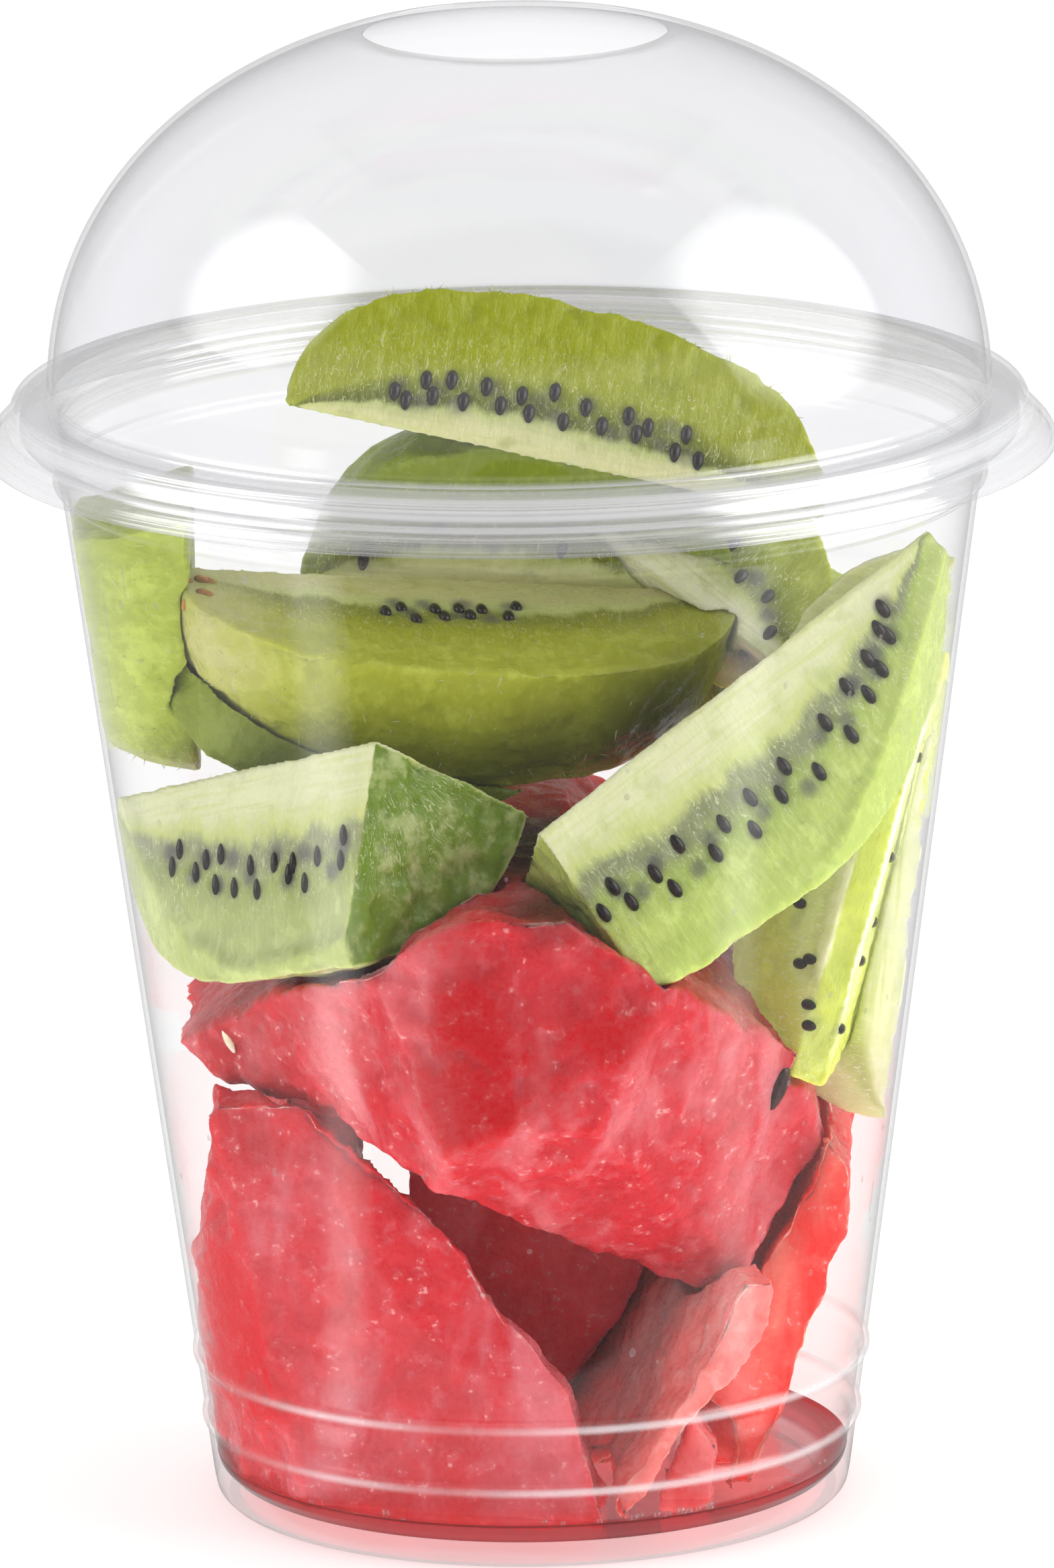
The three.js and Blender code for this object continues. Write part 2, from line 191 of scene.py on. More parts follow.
# ---- Where the fruit lies ----
#
# A wedge's ends are those of its core, its angle is the one between its cut faces, and its lean
# turns the flesh round the core from straight up. Facets are further cuts: a point on one and the
# way that it faces. Seeds are counted on each cut face. Ring and span say how far out and between
# which angles they lie, and slim how narrow they are. Flesh is the outer flesh, the darker flesh
# inside it and the clear zone round the core; cross colours the facets. Narrow, end, patchy, ripe
# and the painted glow set how slim the core is, which end is pale, how mottled the peeled side
# is, how much the seeds show and how strongly the flesh glows in its own colour, a painted
# stand-in for light that comes through the flesh. Fibres are their count and the side that they
# stand on.
# Hollows are spots of painted shade, where little light comes between the pieces: each is a
# place, its reach and how dark the shade painted there is.

KIWIS = [
    {"name": "kiwi_front_left", "ends": ((-41, -5, 68.5), (-2, -39, 85)), "radius": 21,
     "angle": 75, "lean": -161, "seeds": (5, 16), "ring": 0.5, "span": (70, 140), "slim": 0.72,
     "facets": [((-14, -29, 80), (0.57, -0.81, 0.13))], "flesh": ("B6C07E", "A6B26A", "A2A67E"),
     "cross": "76922C"},
    {"name": "kiwi_front_right", "ends": ((-11, -39, 64), (38, -14, 96)), "radius": 20.5,
     "angle": 70, "lean": -163, "seeds": (8, 28), "ring": 0.55,
     "facets": [((1, -33, 72), (-0.78, -0.4, -0.48))], "flesh": ("BCCC6E", "A8BC5C", "949A72"),
     "cross": "BCD06A", "fibres": (60, (-0.6, -0.4, -0.7))},
    {"name": "kiwi_across", "ends": ((-33, -4, 91), (20, 5, 86)), "radius": 20, "angle": 80,
     "lean": 144, "seeds": (12, 10), "ring": 0.36, "span": (74, 112),
     "flesh": ("AFB43A", "9EA31E", "8F9430"), "core": "D8D396", "end": -1,
     "fibres": (70, (-0.3, -0.7, -0.3)),
     # painted shade: dark spots painted on the underside of this wedge where little light comes
     # between the pieces
     "hollows": [((5, -20, 69), 15, 0.95), ((17, -13, 71), 17, 0.95)]},
    {"name": "kiwi_top", "ends": ((-22, -8, 107), (28.5, -4, 94.4)), "radius": 17.5,
     "angle": 50, "lean": -64, "seeds": (20, 8), "ring": 0.34, "span": (48, 142),
     "flesh": ("AAB21E", "848E0C", "727A14"), "core": "E4E2A8", "narrow": 1.45, "patchy": 0.4,
     "ripe": 0.6, "fibres": (150, (0, -0.2, 1))},
    {"name": "kiwi_low_left", "ends": ((-33.5, -3.5, 80), (2, 1, 72)), "radius": 11.5,
     "angle": 100, "lean": 81, "seeds": (0, 3), "flesh": ("84922C", "76841C", "76841C")},
    {"name": "kiwi_left", "ends": ((-30.5, 7, 69), (-31, 7.5, 116)), "radius": 16.5,
     "angle": 90, "lean": -91, "seeds": (5, 5), "facets": [((-30, 0, 98), (-0.3, -0.1, 1))],
     "flesh": ("B0BE4C", "A0AE36", "A0AE36"), "fibres": (60, (0, -0.8, -0.6))},
    # painted light: the core is painted paler to make up for the shade of the wedge above it, and
    # the flesh glows a little in its own colour
    {"name": "kiwi_behind", "ends": ((-6, 6, 102), (26, -4, 79)), "radius": 19, "angle": 70,
     "lean": -94, "seeds": (10, 10), "flesh": ("AEB848", "98A430", "8C9438"), "core": "FAF8D4",
     "painted_glow": 0.06},
    # painted light: the flesh glows a little in its own colour
    {"name": "kiwi_under_top", "ends": ((-21, 4, 87.2), (20, 6, 82.2)), "radius": 17.8,
     "angle": 90, "lean": -22, "seeds": (5, 5), "flesh": ("8A9A24", "72821A", "7C8428"),
     "core": "ECECAE", "painted_glow": 0.06},
    # painted light: this wedge lies in the shade of the wedge over it, so its flesh and core are
    # painted paler and the flesh glows in its own colour
    {"name": "kiwi_low_right", "ends": ((27.3, -22, 44), (39.3, -12, 84)), "radius": 22,
     "angle": 42, "lean": -117, "seeds": (12, 6), "facets": [((33, -13.6, 63), (0, -0.97, 0.23))],
     "flesh": ("D4DC5C", "D4E070", "DCE894"), "core": "FAF8DC", "cross": "CCD668",
     "ripe": 0.2, "painted_glow": 0.25},
    {"name": "kiwi_wall_right", "ends": ((33.5, -8, 37), (40.5, -8, 92)), "radius": 18,
     "angle": 60, "lean": -48, "seeds": (8, 8), "flesh": ("E6E8AE", "D4DA90", "C8CC82"),
     "core": "FAF8DC"},
    {"name": "kiwi_back_left", "ends": ((-31, 12, 82), (6, 24, 80)), "radius": 19,
     "angle": 85, "lean": -145, "seeds": (8, 8), "flesh": ("B4C45C", "96AA3C", "8E9850")},
    {"name": "kiwi_back_right", "ends": ((2, 28, 84), (34, 8, 80)), "radius": 19,
     "angle": 85, "lean": -127, "seeds": (8, 8), "flesh": ("BECC5C", "9CB040", "929A54")},
]

MELONS = [
    {"name": "melon_left", "flesh": ("D8323C", "E27C86", "C6101A"),
     "front": -40, "back": 6,
     "outline": [(-30, 43), (-30.5, 32), (-32, 22), (-32, 1), (8, 1), (4, 16), (-14, 39.5),
                 (-19, 43.5)],
     "facets": [((-25, -20, 20), (-0.24, -0.97, 0)), ((-4.3, -24.4, 28.6), (0.62, 0.55, 0.56))]},
    {"name": "melon_top", "flesh": ("CE2E38", "E07C82", "AC0409"),
     "front": -40, "back": 31,
     "outline": [(-33, 46), (-29, 42), (-19, 41.5), (16, 22), (20, 23), (28, 36), (26, 47),
                 (4, 65), (-6, 65), (-24, 54)],
     # painted shade: dark spots painted on the top of this chunk where little light comes between
     # the pieces
     "hollows": [((3, -32, 67), 9, 0.8), ((6, -9, 67), 22, 0.97)],
     "facets": [((-14, -33, 53), (-0.69, -0.64, -0.33)), ((13, -33, 54), (0.65, -0.71, -0.27)),
                ((0, -35, 42.6), (0.05, -0.7, -0.7))]},
    # painted light: this chunk lies in shade, so its three flesh colours are all painted paler
    {"name": "melon_leaning", "flesh": ("FF908A", "FFCCC4", "FA605C"),
     "front": -26, "back": 8, "swing": -12,
     "outline": [(5, 3), (8, 1), (14, 10), (23, 22), (24, 26), (20, 27), (12, 12)]},
    {"name": "melon_small", "flesh": ("E45458", "F0A09E", "D02A32"),
     "front": -20, "back": -8,
     "outline": [(11, 1), (17, 1), (18, 9), (15, 12)]},
    {"name": "melon_right", "flesh": ("F82E24", "F88474", "EE1E14"),
     "front": -14, "back": 24,
     "outline": [(14, 1), (21, 1), (30, 28), (31, 34), (28, 38), (16, 38)]},
    {"name": "melon_back", "flesh": ("F23C48", "F87078", "E01E2A"),
     "front": -2, "back": 28,
     "outline": [(-11.5, 1), (14, 1), (14, 30), (4, 34), (-11.5, 31)]},
    {"name": "melon_back_left", "flesh": ("E83844", "F0767E", "D81822"),
     "front": 4, "back": 30,
     "outline": [(-27, 1), (-14, 1), (-16, 34), (-23, 38), (-28.5, 32)]},
]

CORE_REACH = 0.97        # length of the core, for each length of the wedge
CORE_TAPER = 0.75
CORE_LINES = (0.12, 1.6, 1.6)  # noise for each mm along and across the core
CUT_FACE = (0.985, 0.93)       # shares of the radius over which peeled turns to cut
ON_FACET = (0.8, 0.95)         # cosines between which a point is on a slanting cut
PALE_END = (0.62, 0.9)         # shares of the half length over which an end turns pale
THREADS = {"from_core": (0.28, 0.4), "size": 0.9, "round": 0.5, "out": 0.25}
KIWI_DENTS = {"broad": (9.0, 0.9, 0.15), "peeled": (2.8, 0.35, 0.1), "cross": (3.6, 0.8, 0.1, 3)}
MELON_WAVES = {"broad": (0.65, 12.0), "small": (0.35, 4.0), "level": 0.35}
MELON_GRAIN = {"size": 1.5, "level": 0.3}
PAINTED_SHADE_HEART = 0.35            # share of a painted shade spot's reach that is darkest
PRESS = {"ragged": 0.35, "size": 8.0, "air": (1.2, 0.3), "over_floor": 0.05}
SEED_RING = {"along": 0.80, "out": 0.46, "spread": 0.11, "span": (18, 162)}
SEED_JITTER = {"along": 0.9, "out": 0.7}
SEED_THICKNESS = 1.1
SEED_SUNK = 0.15
SEED_STEPS = (10, 7)
SEED_TAPER = 0.32        # share of its width that a seed loses at its narrow end
SOCKET = {"depth": 0.22, "reach": 1.5, "round": 0.7, "halo": 3.2, "fade": 1.5, "far": 0.7,
          "level": 0.8}
SUNK_SEEDS = {"share": 0.7, "reach": (1.5, 0.3)}  # seeds that show dimly through the flesh
STREAK_SHAPE = [1.0, 1.0, 0.35]  # pale streaks of melon run upwards
MELON_SEEDS = [
    {"name": "melon_seed", "node": "melon_top", "at": (24, -18.7, 43), "up": (0.3, 0, 1),
     "size": (4.6, 2.4, 1.4), "tone": "seed"},
    {"name": "melon_seed_pale", "node": "melon_top", "at": (-29, -15, 46.5), "up": (-0.4, 0, 1),
     "size": (2.6, 1.2, 0.8), "tone": "pale_seed"},
    {"name": "melon_seed_back", "node": "melon_back", "at": (2, 28, 18), "up": (0.5, 0, 1),
     "size": (4.4, 2.3, 1.3), "tone": "seed"},
]
STEM_WEDGE, STEM_TONE = "kiwi_across", "7A5426"
STEM_BITS = [((-29.8, -7, 92.3), (2.2, 1.3, 0.9)), ((-29.6, -9, 90.1), (1.8, 1.1, 0.8)),
             ((-31.6, -7, 91), (1.5, 0.9, 0.8)), ((-31, -9, 88.4), (1.1, 0.8, 0.6))]
FIBRE = {"length": (0.4, 1.1), "radius": 0.055, "tip": 0.0165, "spread": 1.3, "out": 0.4}
PEELED = 0.97            # share of the radius beyond which a point is on the peeled side
JUICE_AIR = {"floor": 0.03, "wall": 0.05}
MENISCUS = {"rise": 0.5, "curve": ((0.35, 0.12), (1.2, 0))}  # back from the wall, and up
BUBBLES = {"count": 26, "sizes": (0.2, 0.5), "turns": (-70, 75), "cluster": (18, 36),
           "over": 0.1, "air": 0.05, "spread": 1.2, "rise": 0.4}
DROPS = {"turns": (-100, 100), "heights": (18, 97), "sizes": (0.25, 0.7), "flat": 0.16,
         "stretch": (1, 1.6), "air": 0.01}
STREAK_WIDTH = 0.35
STREAKS = [(-73, 82, 5.5), (-70, 88, 4.0), (-62, 93, 3.0), (68, 70, 4.5), (75, 30, 3.5)]


# ---- Shapes ----

def wall_radius(height):
    return WALL_START["radius"] + WALL_SLOPE * (height - WALL_START["height"])


def smooth_step(low, high, value):
    t = np.clip((value - low) / (high - low), 0, 1)
    return t * t * (3 - 2 * t)


def rounded(outline, reach=CORNER):
    """The outline with each corner between its ends turned into a short curve."""
    points = [Vector(p) for p in outline]
    made = [points[0]]
    for before, corner, after in zip(points, points[1:], points[2:]):
        ends = []
        for other in (before, after):
            away = other - corner
            ends.append(corner + away.normalized() * min(reach, 0.45 * away.length))
        for i in range(CORNER_STEPS + 1):
            t = i / CORNER_STEPS
            made.append(ends[0].lerp(corner, t).lerp(corner.lerp(ends[1], t), t))
    return [*made, points[-1]]


def supported(outline):
    """The outline with a point near each end of its long straight stretches."""
    made = [outline[0]]
    for start, end in zip(outline, outline[1:]):
        along = end - start
        if along.length > STRAIGHT:
            near = along.normalized() * SUPPORT
            made += [start + near, end - near]
        made.append(end)
    return made


def turned(outline, steps, closed=False):
    """A solid of revolution round Z. A closed outline is a ring that stays off the axis."""
    bm = bmesh.new()
    verts = [bm.verts.new((radius, 0, height)) for radius, height in outline]
    edges = [bm.edges.new(pair) for pair in zip(verts, verts[1:])]
    if closed:
        edges.append(bm.edges.new((verts[-1], verts[0])))
    bmesh.ops.spin(bm, geom=verts + edges, cent=(0, 0, 0), axis=(0, 0, 1), dvec=(0, 0, 0),
                   angle=2 * math.pi, steps=steps, space=Matrix(), use_merge=True,
                   use_normal_flip=False, use_duplicate=False)
    bmesh.ops.remove_doubles(bm, verts=bm.verts, dist=1e-4)
    bmesh.ops.recalc_face_normals(bm, faces=bm.faces)
    return bm


def slice_off(bm, point, normal):
    """Removes what lies on the outer side of a plane, and closes the cut."""
    made = bmesh.ops.bisect_plane(
        bm, geom=[*bm.verts, *bm.edges, *bm.faces], dist=1e-5, plane_co=point,
        plane_no=normal, clear_outer=True, clear_inner=False)
    rim = [g for g in made["geom_cut"] if isinstance(g, bmesh.types.BMEdge)]
    bmesh.ops.holes_fill(bm, edges=rim, sides=0)


def scratch_object(bm, name, collection):
    """A working object in millimetres, made from a bmesh, which is then freed."""
    bmesh.ops.triangulate(bm, faces=bm.faces)
    bmesh.ops.recalc_face_normals(bm, faces=bm.faces)
    mesh = bpy.data.meshes.new(name)
    bm.to_mesh(mesh)
    bm.free()
    made = bpy.data.objects.new(name, mesh)
    collection.objects.link(made)
    return made


def finished(name, mesh, material, node=None):
    """A piece of the fruit cup: scaled to metres, shaded smooth, and riding on the part."""
    mesh.transform(Matrix.Scale(MM, 4))
    mesh.shade_smooth()
    mesh.materials.clear()
    mesh.materials.append(material)
    piece = bpy.data.objects.new(name, mesh)
    bpy.context.scene.collection.objects.link(piece)
    if node:
        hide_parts(node)
    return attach(piece, "root")


def mesh_of(bm, name):
    mesh = bpy.data.meshes.new(name)
    bm.to_mesh(mesh)
    bm.free()
    return mesh


# ---- Materials ----

class Shader:
    """Adds nodes to a new material, or to a given tree, and links or sets each input."""

    def __init__(self, name, tree=None):
        if tree is None:
            self.material = bpy.data.materials.new(name)
            self.material.use_nodes = True
            tree = self.material.node_tree
        self.tree = tree
        tree.nodes.clear()

    def add(self, kind, inputs=None, **settings):
        node = self.tree.nodes.new(kind)
        for key, value in settings.items():
            setattr(node, key, value)
        for key, value in (inputs or {}).items():
            if isinstance(value, bpy.types.NodeSocket):
                self.tree.links.new(value, node.inputs[key])
            else:
                node.inputs[key].default_value = value
        return node

    def place(self):
        return self.add("ShaderNodeTexCoord").outputs["Object"]

    def number(self, name):
        return self.add("ShaderNodeAttribute", attribute_name=name).outputs["Fac"]

    def direction(self, name):
        return self.add("ShaderNodeAttribute", attribute_name=name).outputs["Vector"]

    def noise(self, place, scale, detail=2.0, roughness=0.5, distortion=0.0):
        return self.add("ShaderNodeTexNoise", {
            "Vector": place, "Scale": scale, "Detail": detail, "Roughness": roughness,
            "Distortion": distortion}).outputs["Fac"]

    def parts(self, place):
        return self.add("ShaderNodeSeparateXYZ", {0: place}).outputs

    def between(self, value, low, high, to_low=0.0, to_high=1.0):
        return self.add("ShaderNodeMapRange", {
            0: value, 1: low, 2: high, 3: to_low, 4: to_high},
            interpolation_type="SMOOTHSTEP").outputs[0]

    def maths(self, operation, *values):
        return self.add("ShaderNodeMath", dict(enumerate(values)), operation=operation).outputs[0]

    def times(self, first, second):
        return self.maths("MULTIPLY", first, second)

    def plus(self, first, second):
        return self.maths("ADD", first, second)

    def mix(self, factor, first, second, blend="MIX"):
        def full(value):
            return value if isinstance(value, bpy.types.NodeSocket) else (*value, 1)
        return self.add("ShaderNodeMix", {0: factor, 6: full(first), 7: full(second)},
                        data_type="RGBA", blend_type=blend).outputs[2]

    def ramp(self, value, stops):
        node = self.add("ShaderNodeValToRGB", {"Fac": value})
        elements = node.color_ramp.elements
        while len(elements) < len(stops):
            elements.new(0.5)
        for element, (place, tone) in zip(elements, stops):
            element.position = place
            element.color = (*tone, 1)
        return node.outputs["Color"]

    def bump(self, height, strength, distance, normal=None):
        inputs = {"Height": height, "Strength": strength, "Distance": distance}
        if normal:
            inputs["Normal"] = normal
        return self.add("ShaderNodeBump", inputs).outputs["Normal"]

    def blend(self, factor, first, second):
        return self.add("ShaderNodeMixShader", {0: factor, 1: first, 2: second}).outputs[0]

    def shell(self, colour, roughness, more):
        return self.add("ShaderNodeBsdfPrincipled", {
            "Base Color": colour, "Roughness": roughness, **more}).outputs[0]

    def output(self, surface):
        self.add("ShaderNodeOutputMaterial", {"Surface": surface})
        return self.material


# Scales count features in a metre, and depths are in metres.
FILM = {"mirror": (0.05, 0.75), "edge_on": 4.5, "cloud": 0.4}
RIM = {"lines": 1100, "depth": 0.0007, "haze": (0.25, 2.0), "clearer_under": (0.1028, 0.1042),
       "clearer": 0.45, "mirror": 0.16}
# Painted highlight on the ribs, as cloudiness: where it rises and falls round each rib, and how
# cloudy it is.
RIB_PAINTED_HIGHLIGHT = {"from": -0.7, "to": 0.5, "full_to": 0.1, "haze": (0.05, 0.30)}
JUICE_EDGE = {"from": 0.0272, "to": 0.0286, "tone": "D0525C"}
WATER = {"tint": (0.97, 0.96, 0.96), "cloud": (0.9, 0.9, 0.88), "mirror": (0.09, 0.9)}
# The 2B2209 tone below is painted shade, for flesh where little light comes between the pieces.
KIWI_TONES = {"halo": "6F7650", "sunk_seed": "544E5C", "pale_end": "C4C280", "painted_shade": "2B2209"}
KIWI_LIGHT = {"Subsurface Weight": 0.55, "Subsurface Radius": (1.0, 1.0, 0.35),
              "Subsurface Scale": 0.0018, "IOR": 1.38}
MELON_LIGHT = {"Subsurface Weight": 0.8, "Subsurface Radius": (2.6, 0.5, 0.4),
               "Subsurface Scale": 0.0014, "IOR": 1.36}
# Painted shade: the colour painted on melon flesh where little light comes between the pieces.
MELON_PAINTED_SHADE = "2A0C08"


def film(s, tint, haze, cloudy, normal, roughness, mirror=FILM["mirror"]):
    """The surface of a thin clear skin: it mirrors more where it is seen edge on."""
    if not isinstance(tint, bpy.types.NodeSocket):
        tint = (*tint, 1)
    clear = s.add("ShaderNodeBsdfTransparent", {"Color": tint}).outputs[0]
    cloud = s.shell((*cloudy, 1), FILM["cloud"], {"Normal": normal})
    gloss = s.shell(WHITE, roughness, {"Metallic": 1.0, "Normal": normal})
    facing = s.add("ShaderNodeLayerWeight", {"Blend": 0.5}).outputs["Facing"]
    mirrored = s.between(s.maths("POWER", facing, FILM["edge_on"]), 0, 1, *mirror)
    shown = s.blend(mirrored, s.blend(haze, clear, cloud), gloss)
    path = s.add("ShaderNodeLightPath").outputs
    passing = s.maths("MAXIMUM", path["Is Shadow Ray"], path["Is Diffuse Ray"])
    return s.output(s.blend(passing, shown, clear))


def clear_plastic(look, name, tint):
    """Thin clear plastic, cloudy and drawn in lines where it is folded at the rim, with a painted
    highlight along each rib.
    """
    s = Shader(name)
    place = s.place()
    height = s.parts(place)["Z"]
    low, high = SKIRT["bottom"] * MM, FLANGE_TOP * MM
    rim = s.times(s.between(height, low - MM, low), s.between(height, high + MM, high))
    level = s.add("ShaderNodeCombineXYZ", {"Z": height}).outputs[0]
    lines = s.noise(level, RIM["lines"], 2.0, 0.6)
    normal = s.bump(s.noise(place, 55, 1.0), 0.07, 0.001)
    normal = s.bump(s.times(lines, rim), 0.7, RIM["depth"], normal)
    haze = s.times(rim, s.between(
        lines, 0.4, 0.62, *(share * look.rim_haze for share in RIM["haze"])))
    haze = s.times(haze, s.between(height, *RIM["clearer_under"], RIM["clearer"], 1.0))
    haze = s.plus(haze, look.haze)
    # Painted highlight: a broken whitish cloudiness along the crest of each rib, partly the real
    # clouding of the stretched plastic and partly a stand-in for the light that the ribs catch.
    painted_rib_highlight = s.between(s.noise(place, 28, 1.0), 0.35, 0.6, *RIB_PAINTED_HIGHLIGHT["haze"])
    for rib_height in RIB_HEIGHTS:
        rising = s.between(height, (rib_height + RIB_PAINTED_HIGHLIGHT["from"]) * MM, rib_height * MM)
        falling = s.between(height, (rib_height + RIB_PAINTED_HIGHLIGHT["to"]) * MM,
                            (rib_height + RIB_PAINTED_HIGHLIGHT["full_to"]) * MM)
        haze = s.plus(haze, s.times(s.times(rising, falling), painted_rib_highlight))
    least, most = FILM["mirror"]
    return film(s, tint, haze, look.cloud, normal, look.roughness,
                (s.between(rim, 0, 1, least, RIM["mirror"]), most))


def juice(look):
    """Thin clear red juice, deeper red where it meets the wall."""
    s = Shader("juice")
    place = s.place()
    normal = s.bump(s.noise(place, 260, 2.0), 0.2, 0.0006)
    from_middle = s.add("ShaderNodeVectorMath", {0: place}, operation="LENGTH").outputs["Value"]
    edge = s.between(from_middle, JUICE_EDGE["from"], JUICE_EDGE["to"])
    tint = s.mix(edge, tuple(look.juice), linear(JUICE_EDGE["tone"]))
    cloudy = s.between(s.noise(place, 130, 3.0), 0.45, 0.7, 0.01, 0.10)
    return film(s, tint, cloudy, look.juice_cloud, normal, 0.04)


def wet_film(name):
    """Clear water, for drops and bubbles."""
    s = Shader(name)
    normal = s.bump(s.noise(s.place(), 900, 1.0), 0.1, 0.0002)
    return film(s, WATER["tint"], 0.04, WATER["cloud"], normal, 0.03, WATER["mirror"])


def kiwi_flesh(look, name, spec):
    """Wet kiwi flesh: a pale core, a clear zone of threads and seeds, and green flesh."""
    light, dark, clear = (linear(code) for code in spec["flesh"])
    core = linear(spec["core"]) if "core" in spec else tuple(look.core)
    fibre = tuple(look.fibre)
    tones = {part: linear(code) for part, code in KIWI_TONES.items()}
    ripe, patchy = spec.get("ripe", 1.0), spec.get("patchy", 1.0)
    s = Shader(name)
    grain = s.direction("grain")
    place = s.place()
    depth = s.number("depth")
    threads = s.noise(grain, 1.3, 3.0, 0.6)
    hairs = s.noise(grain, 2.3, 1.0, 0.5, 0.6)
    broad = s.noise(grain, 0.3, 2.0)
    mottle = s.noise(place, 330, 4.0, 0.6)
    # the zones from the core outwards, with wavy borders
    wavy = s.plus(s.number("core"), s.between(threads, 0.25, 0.75, -0.016, 0.016))
    wavy = s.plus(wavy, s.between(broad, 0.3, 0.7, -0.04, 0.04))
    flesh = s.ramp(wavy, [
        (0.0, core), (0.20, core), (0.32, fibre), (0.39, clear), (0.45, clear),
        (0.57, dark), (0.74, light), (1.0, light)])
    # the peeled side, mottled with pale spots
    pale = tuple(min(1, 1.25 * c + 0.03) for c in light)
    mottled = s.mix(s.between(mottle, 0.50, 0.70, 0.0, 0.8 * patchy), flesh, pale)
    mottled = s.mix(s.between(threads, 0.50, 0.66, 0.0, 0.4 * patchy), mottled, pale)
    flesh = s.mix(s.between(depth, 0.45, 0.72), flesh, mottled)
    flesh = s.mix(s.between(mottle, 0.48, 0.28, 0.0, 0.35), flesh, dark)
    # lines along the core, and cuts that slant across it
    along = s.noise(s.direction("along"), 1.0, 2.0)
    lines = s.times(s.between(along, 0.45, 0.7), s.between(wavy, 0.34, 0.24))
    flesh = s.mix(s.times(lines, 0.5), flesh, fibre)
    flesh = s.mix(s.number("cross"), flesh, s.mix(
        s.between(mottle, 0.45, 0.7), linear(spec.get("cross", spec["flesh"][1])), light))
    # fine hairs between the seeds
    line = s.maths("ABSOLUTE", s.maths("SUBTRACT", hairs, 0.5))
    hair = s.times(s.between(line, 0.018, 0.003), s.between(depth, 0.9, 0.5))
    hair = s.times(hair, s.between(wavy, 0.28, 0.34))
    flesh = s.mix(s.times(hair, 0.75), flesh, core)
    # seeds that show through, the pale end, wet places, and painted shade in the hollows where
    # little light comes
    flesh = s.mix(s.times(s.number("halo"), 0.3 * ripe), flesh, tones["halo"])
    flesh = s.mix(s.times(s.number("dim"), 0.65 * ripe), flesh, tones["sunk_seed"])
    end = s.times(s.number("end"), s.between(mottle, 0.35, 0.6, 0.55, 1))
    flesh = s.mix(end, flesh, tones["pale_end"])
    flesh = s.mix(s.times(s.number("wet"), 0.2), flesh, dark)
    # painted shade: darkens the flesh where little light comes between the pieces
    flesh = s.mix(s.number("shade"), flesh, tones["painted_shade"])
    normal = s.bump(threads, 0.5, 0.0004)
    normal = s.bump(mottle, 0.5, 0.0006, normal)
    normal = s.bump(s.noise(place, 1400, 3.0, 0.6), 0.5, 0.0002, normal)
    # painted glow: the flesh glows in its own colour as strongly as the wedge's spec says, a
    # painted stand-in for light that comes through it
    return s.output(s.shell(flesh, s.between(mottle, 0.3, 0.7, 0.12, 0.34), {
        "Normal": normal, **KIWI_LIGHT, "Emission Color": flesh,
        "Emission Strength": spec.get("painted_glow", 0.0)}))


def speckled(s):
    """The fine unevenness of seeds and fibres."""
    return s.bump(s.noise(s.place(), 2500, 1.0), 0.2, 0.0002)


def seed_coat(name, tone):
    """The hard, glossy coat of a seed."""
    s = Shader(name)
    shade = s.noise(s.place(), 900, 2.0)
    coat = s.mix(s.between(shade, 0.35, 0.7), tone, tuple(min(1, 3.2 * c) for c in tone))
    return s.output(s.shell(coat, 0.22, {"IOR": 1.5, "Normal": speckled(s)}))


def fibre_look(look):
    """Pale wet fibres of the flesh."""
    s = Shader("fibres")
    tone = s.mix(s.noise(s.place(), 300, 2.0), tuple(look.fibre), tuple(look.core))
    return s.output(s.shell(tone, 0.3, {"IOR": 1.38, "Normal": speckled(s)}))


def melon_flesh(look, name, tones):
    """Wet red melon flesh: grainy, pale in streaks, and deep red where it is pressed flat."""
    flesh_tone, pale, deep = (linear(code) for code in tones)
    s = Shader(name)
    place = s.place()
    clouds = s.noise(place, 55, 3.0, 0.55, 0.4)
    grains = s.noise(place, 620, 2.0, 0.5)
    fine = s.noise(place, 1500, 3.0, 0.6)
    streaks = s.noise(s.direction("grain"), 0.13, 4.0, 0.55, 0.4)
    flesh = s.mix(s.between(streaks, 0.44, 0.68, 0, 0.85), flesh_tone, pale)
    flesh = s.mix(s.between(clouds, 0.50, 0.70, 0, 0.5), flesh, deep)
    flesh = s.mix(s.between(grains, 0.50, 0.72, 0, 0.35), flesh, pale)
    sparkle = s.times(s.between(fine, 0.58, 0.68, 0, 0.75), s.between(grains, 0.5, 0.62))
    flesh = s.mix(sparkle, flesh, tuple(look.frost))
    flesh = s.mix(s.times(s.number("wet"), 0.7), flesh, deep)
    # painted shade: darkens the flesh where little light comes between the pieces
    flesh = s.mix(s.number("shade"), flesh, linear(MELON_PAINTED_SHADE))
    return s.output(s.shell(flesh, s.between(fine, 0.3, 0.7, 0.18, 0.45), {
        "Normal": s.bump(s.plus(fine, grains), 0.35, 0.0005), **MELON_LIGHT}))


# ---- Cup and lid ----

def rib(height, depth, reach, inset):
    """A rounded rib that stands out of the wall, as points going up."""
    points = []
    for i in range(BUMP_STEPS + 1):
        along = 2 * i / BUMP_STEPS - 1
        z = height + reach * along
        out = depth * (1 + math.cos(math.pi * along)) / 2
        points.append((wall_radius(z) + out - inset, z))
    return points


def wall_outline(inset):
    points = []
    for height in RIB_HEIGHTS:
        points += rib(height, RIB_DEPTH, RIB_REACH, inset)
    return points + rib(LEDGE["height"], LEDGE["depth"], LEDGE["reach"], inset)


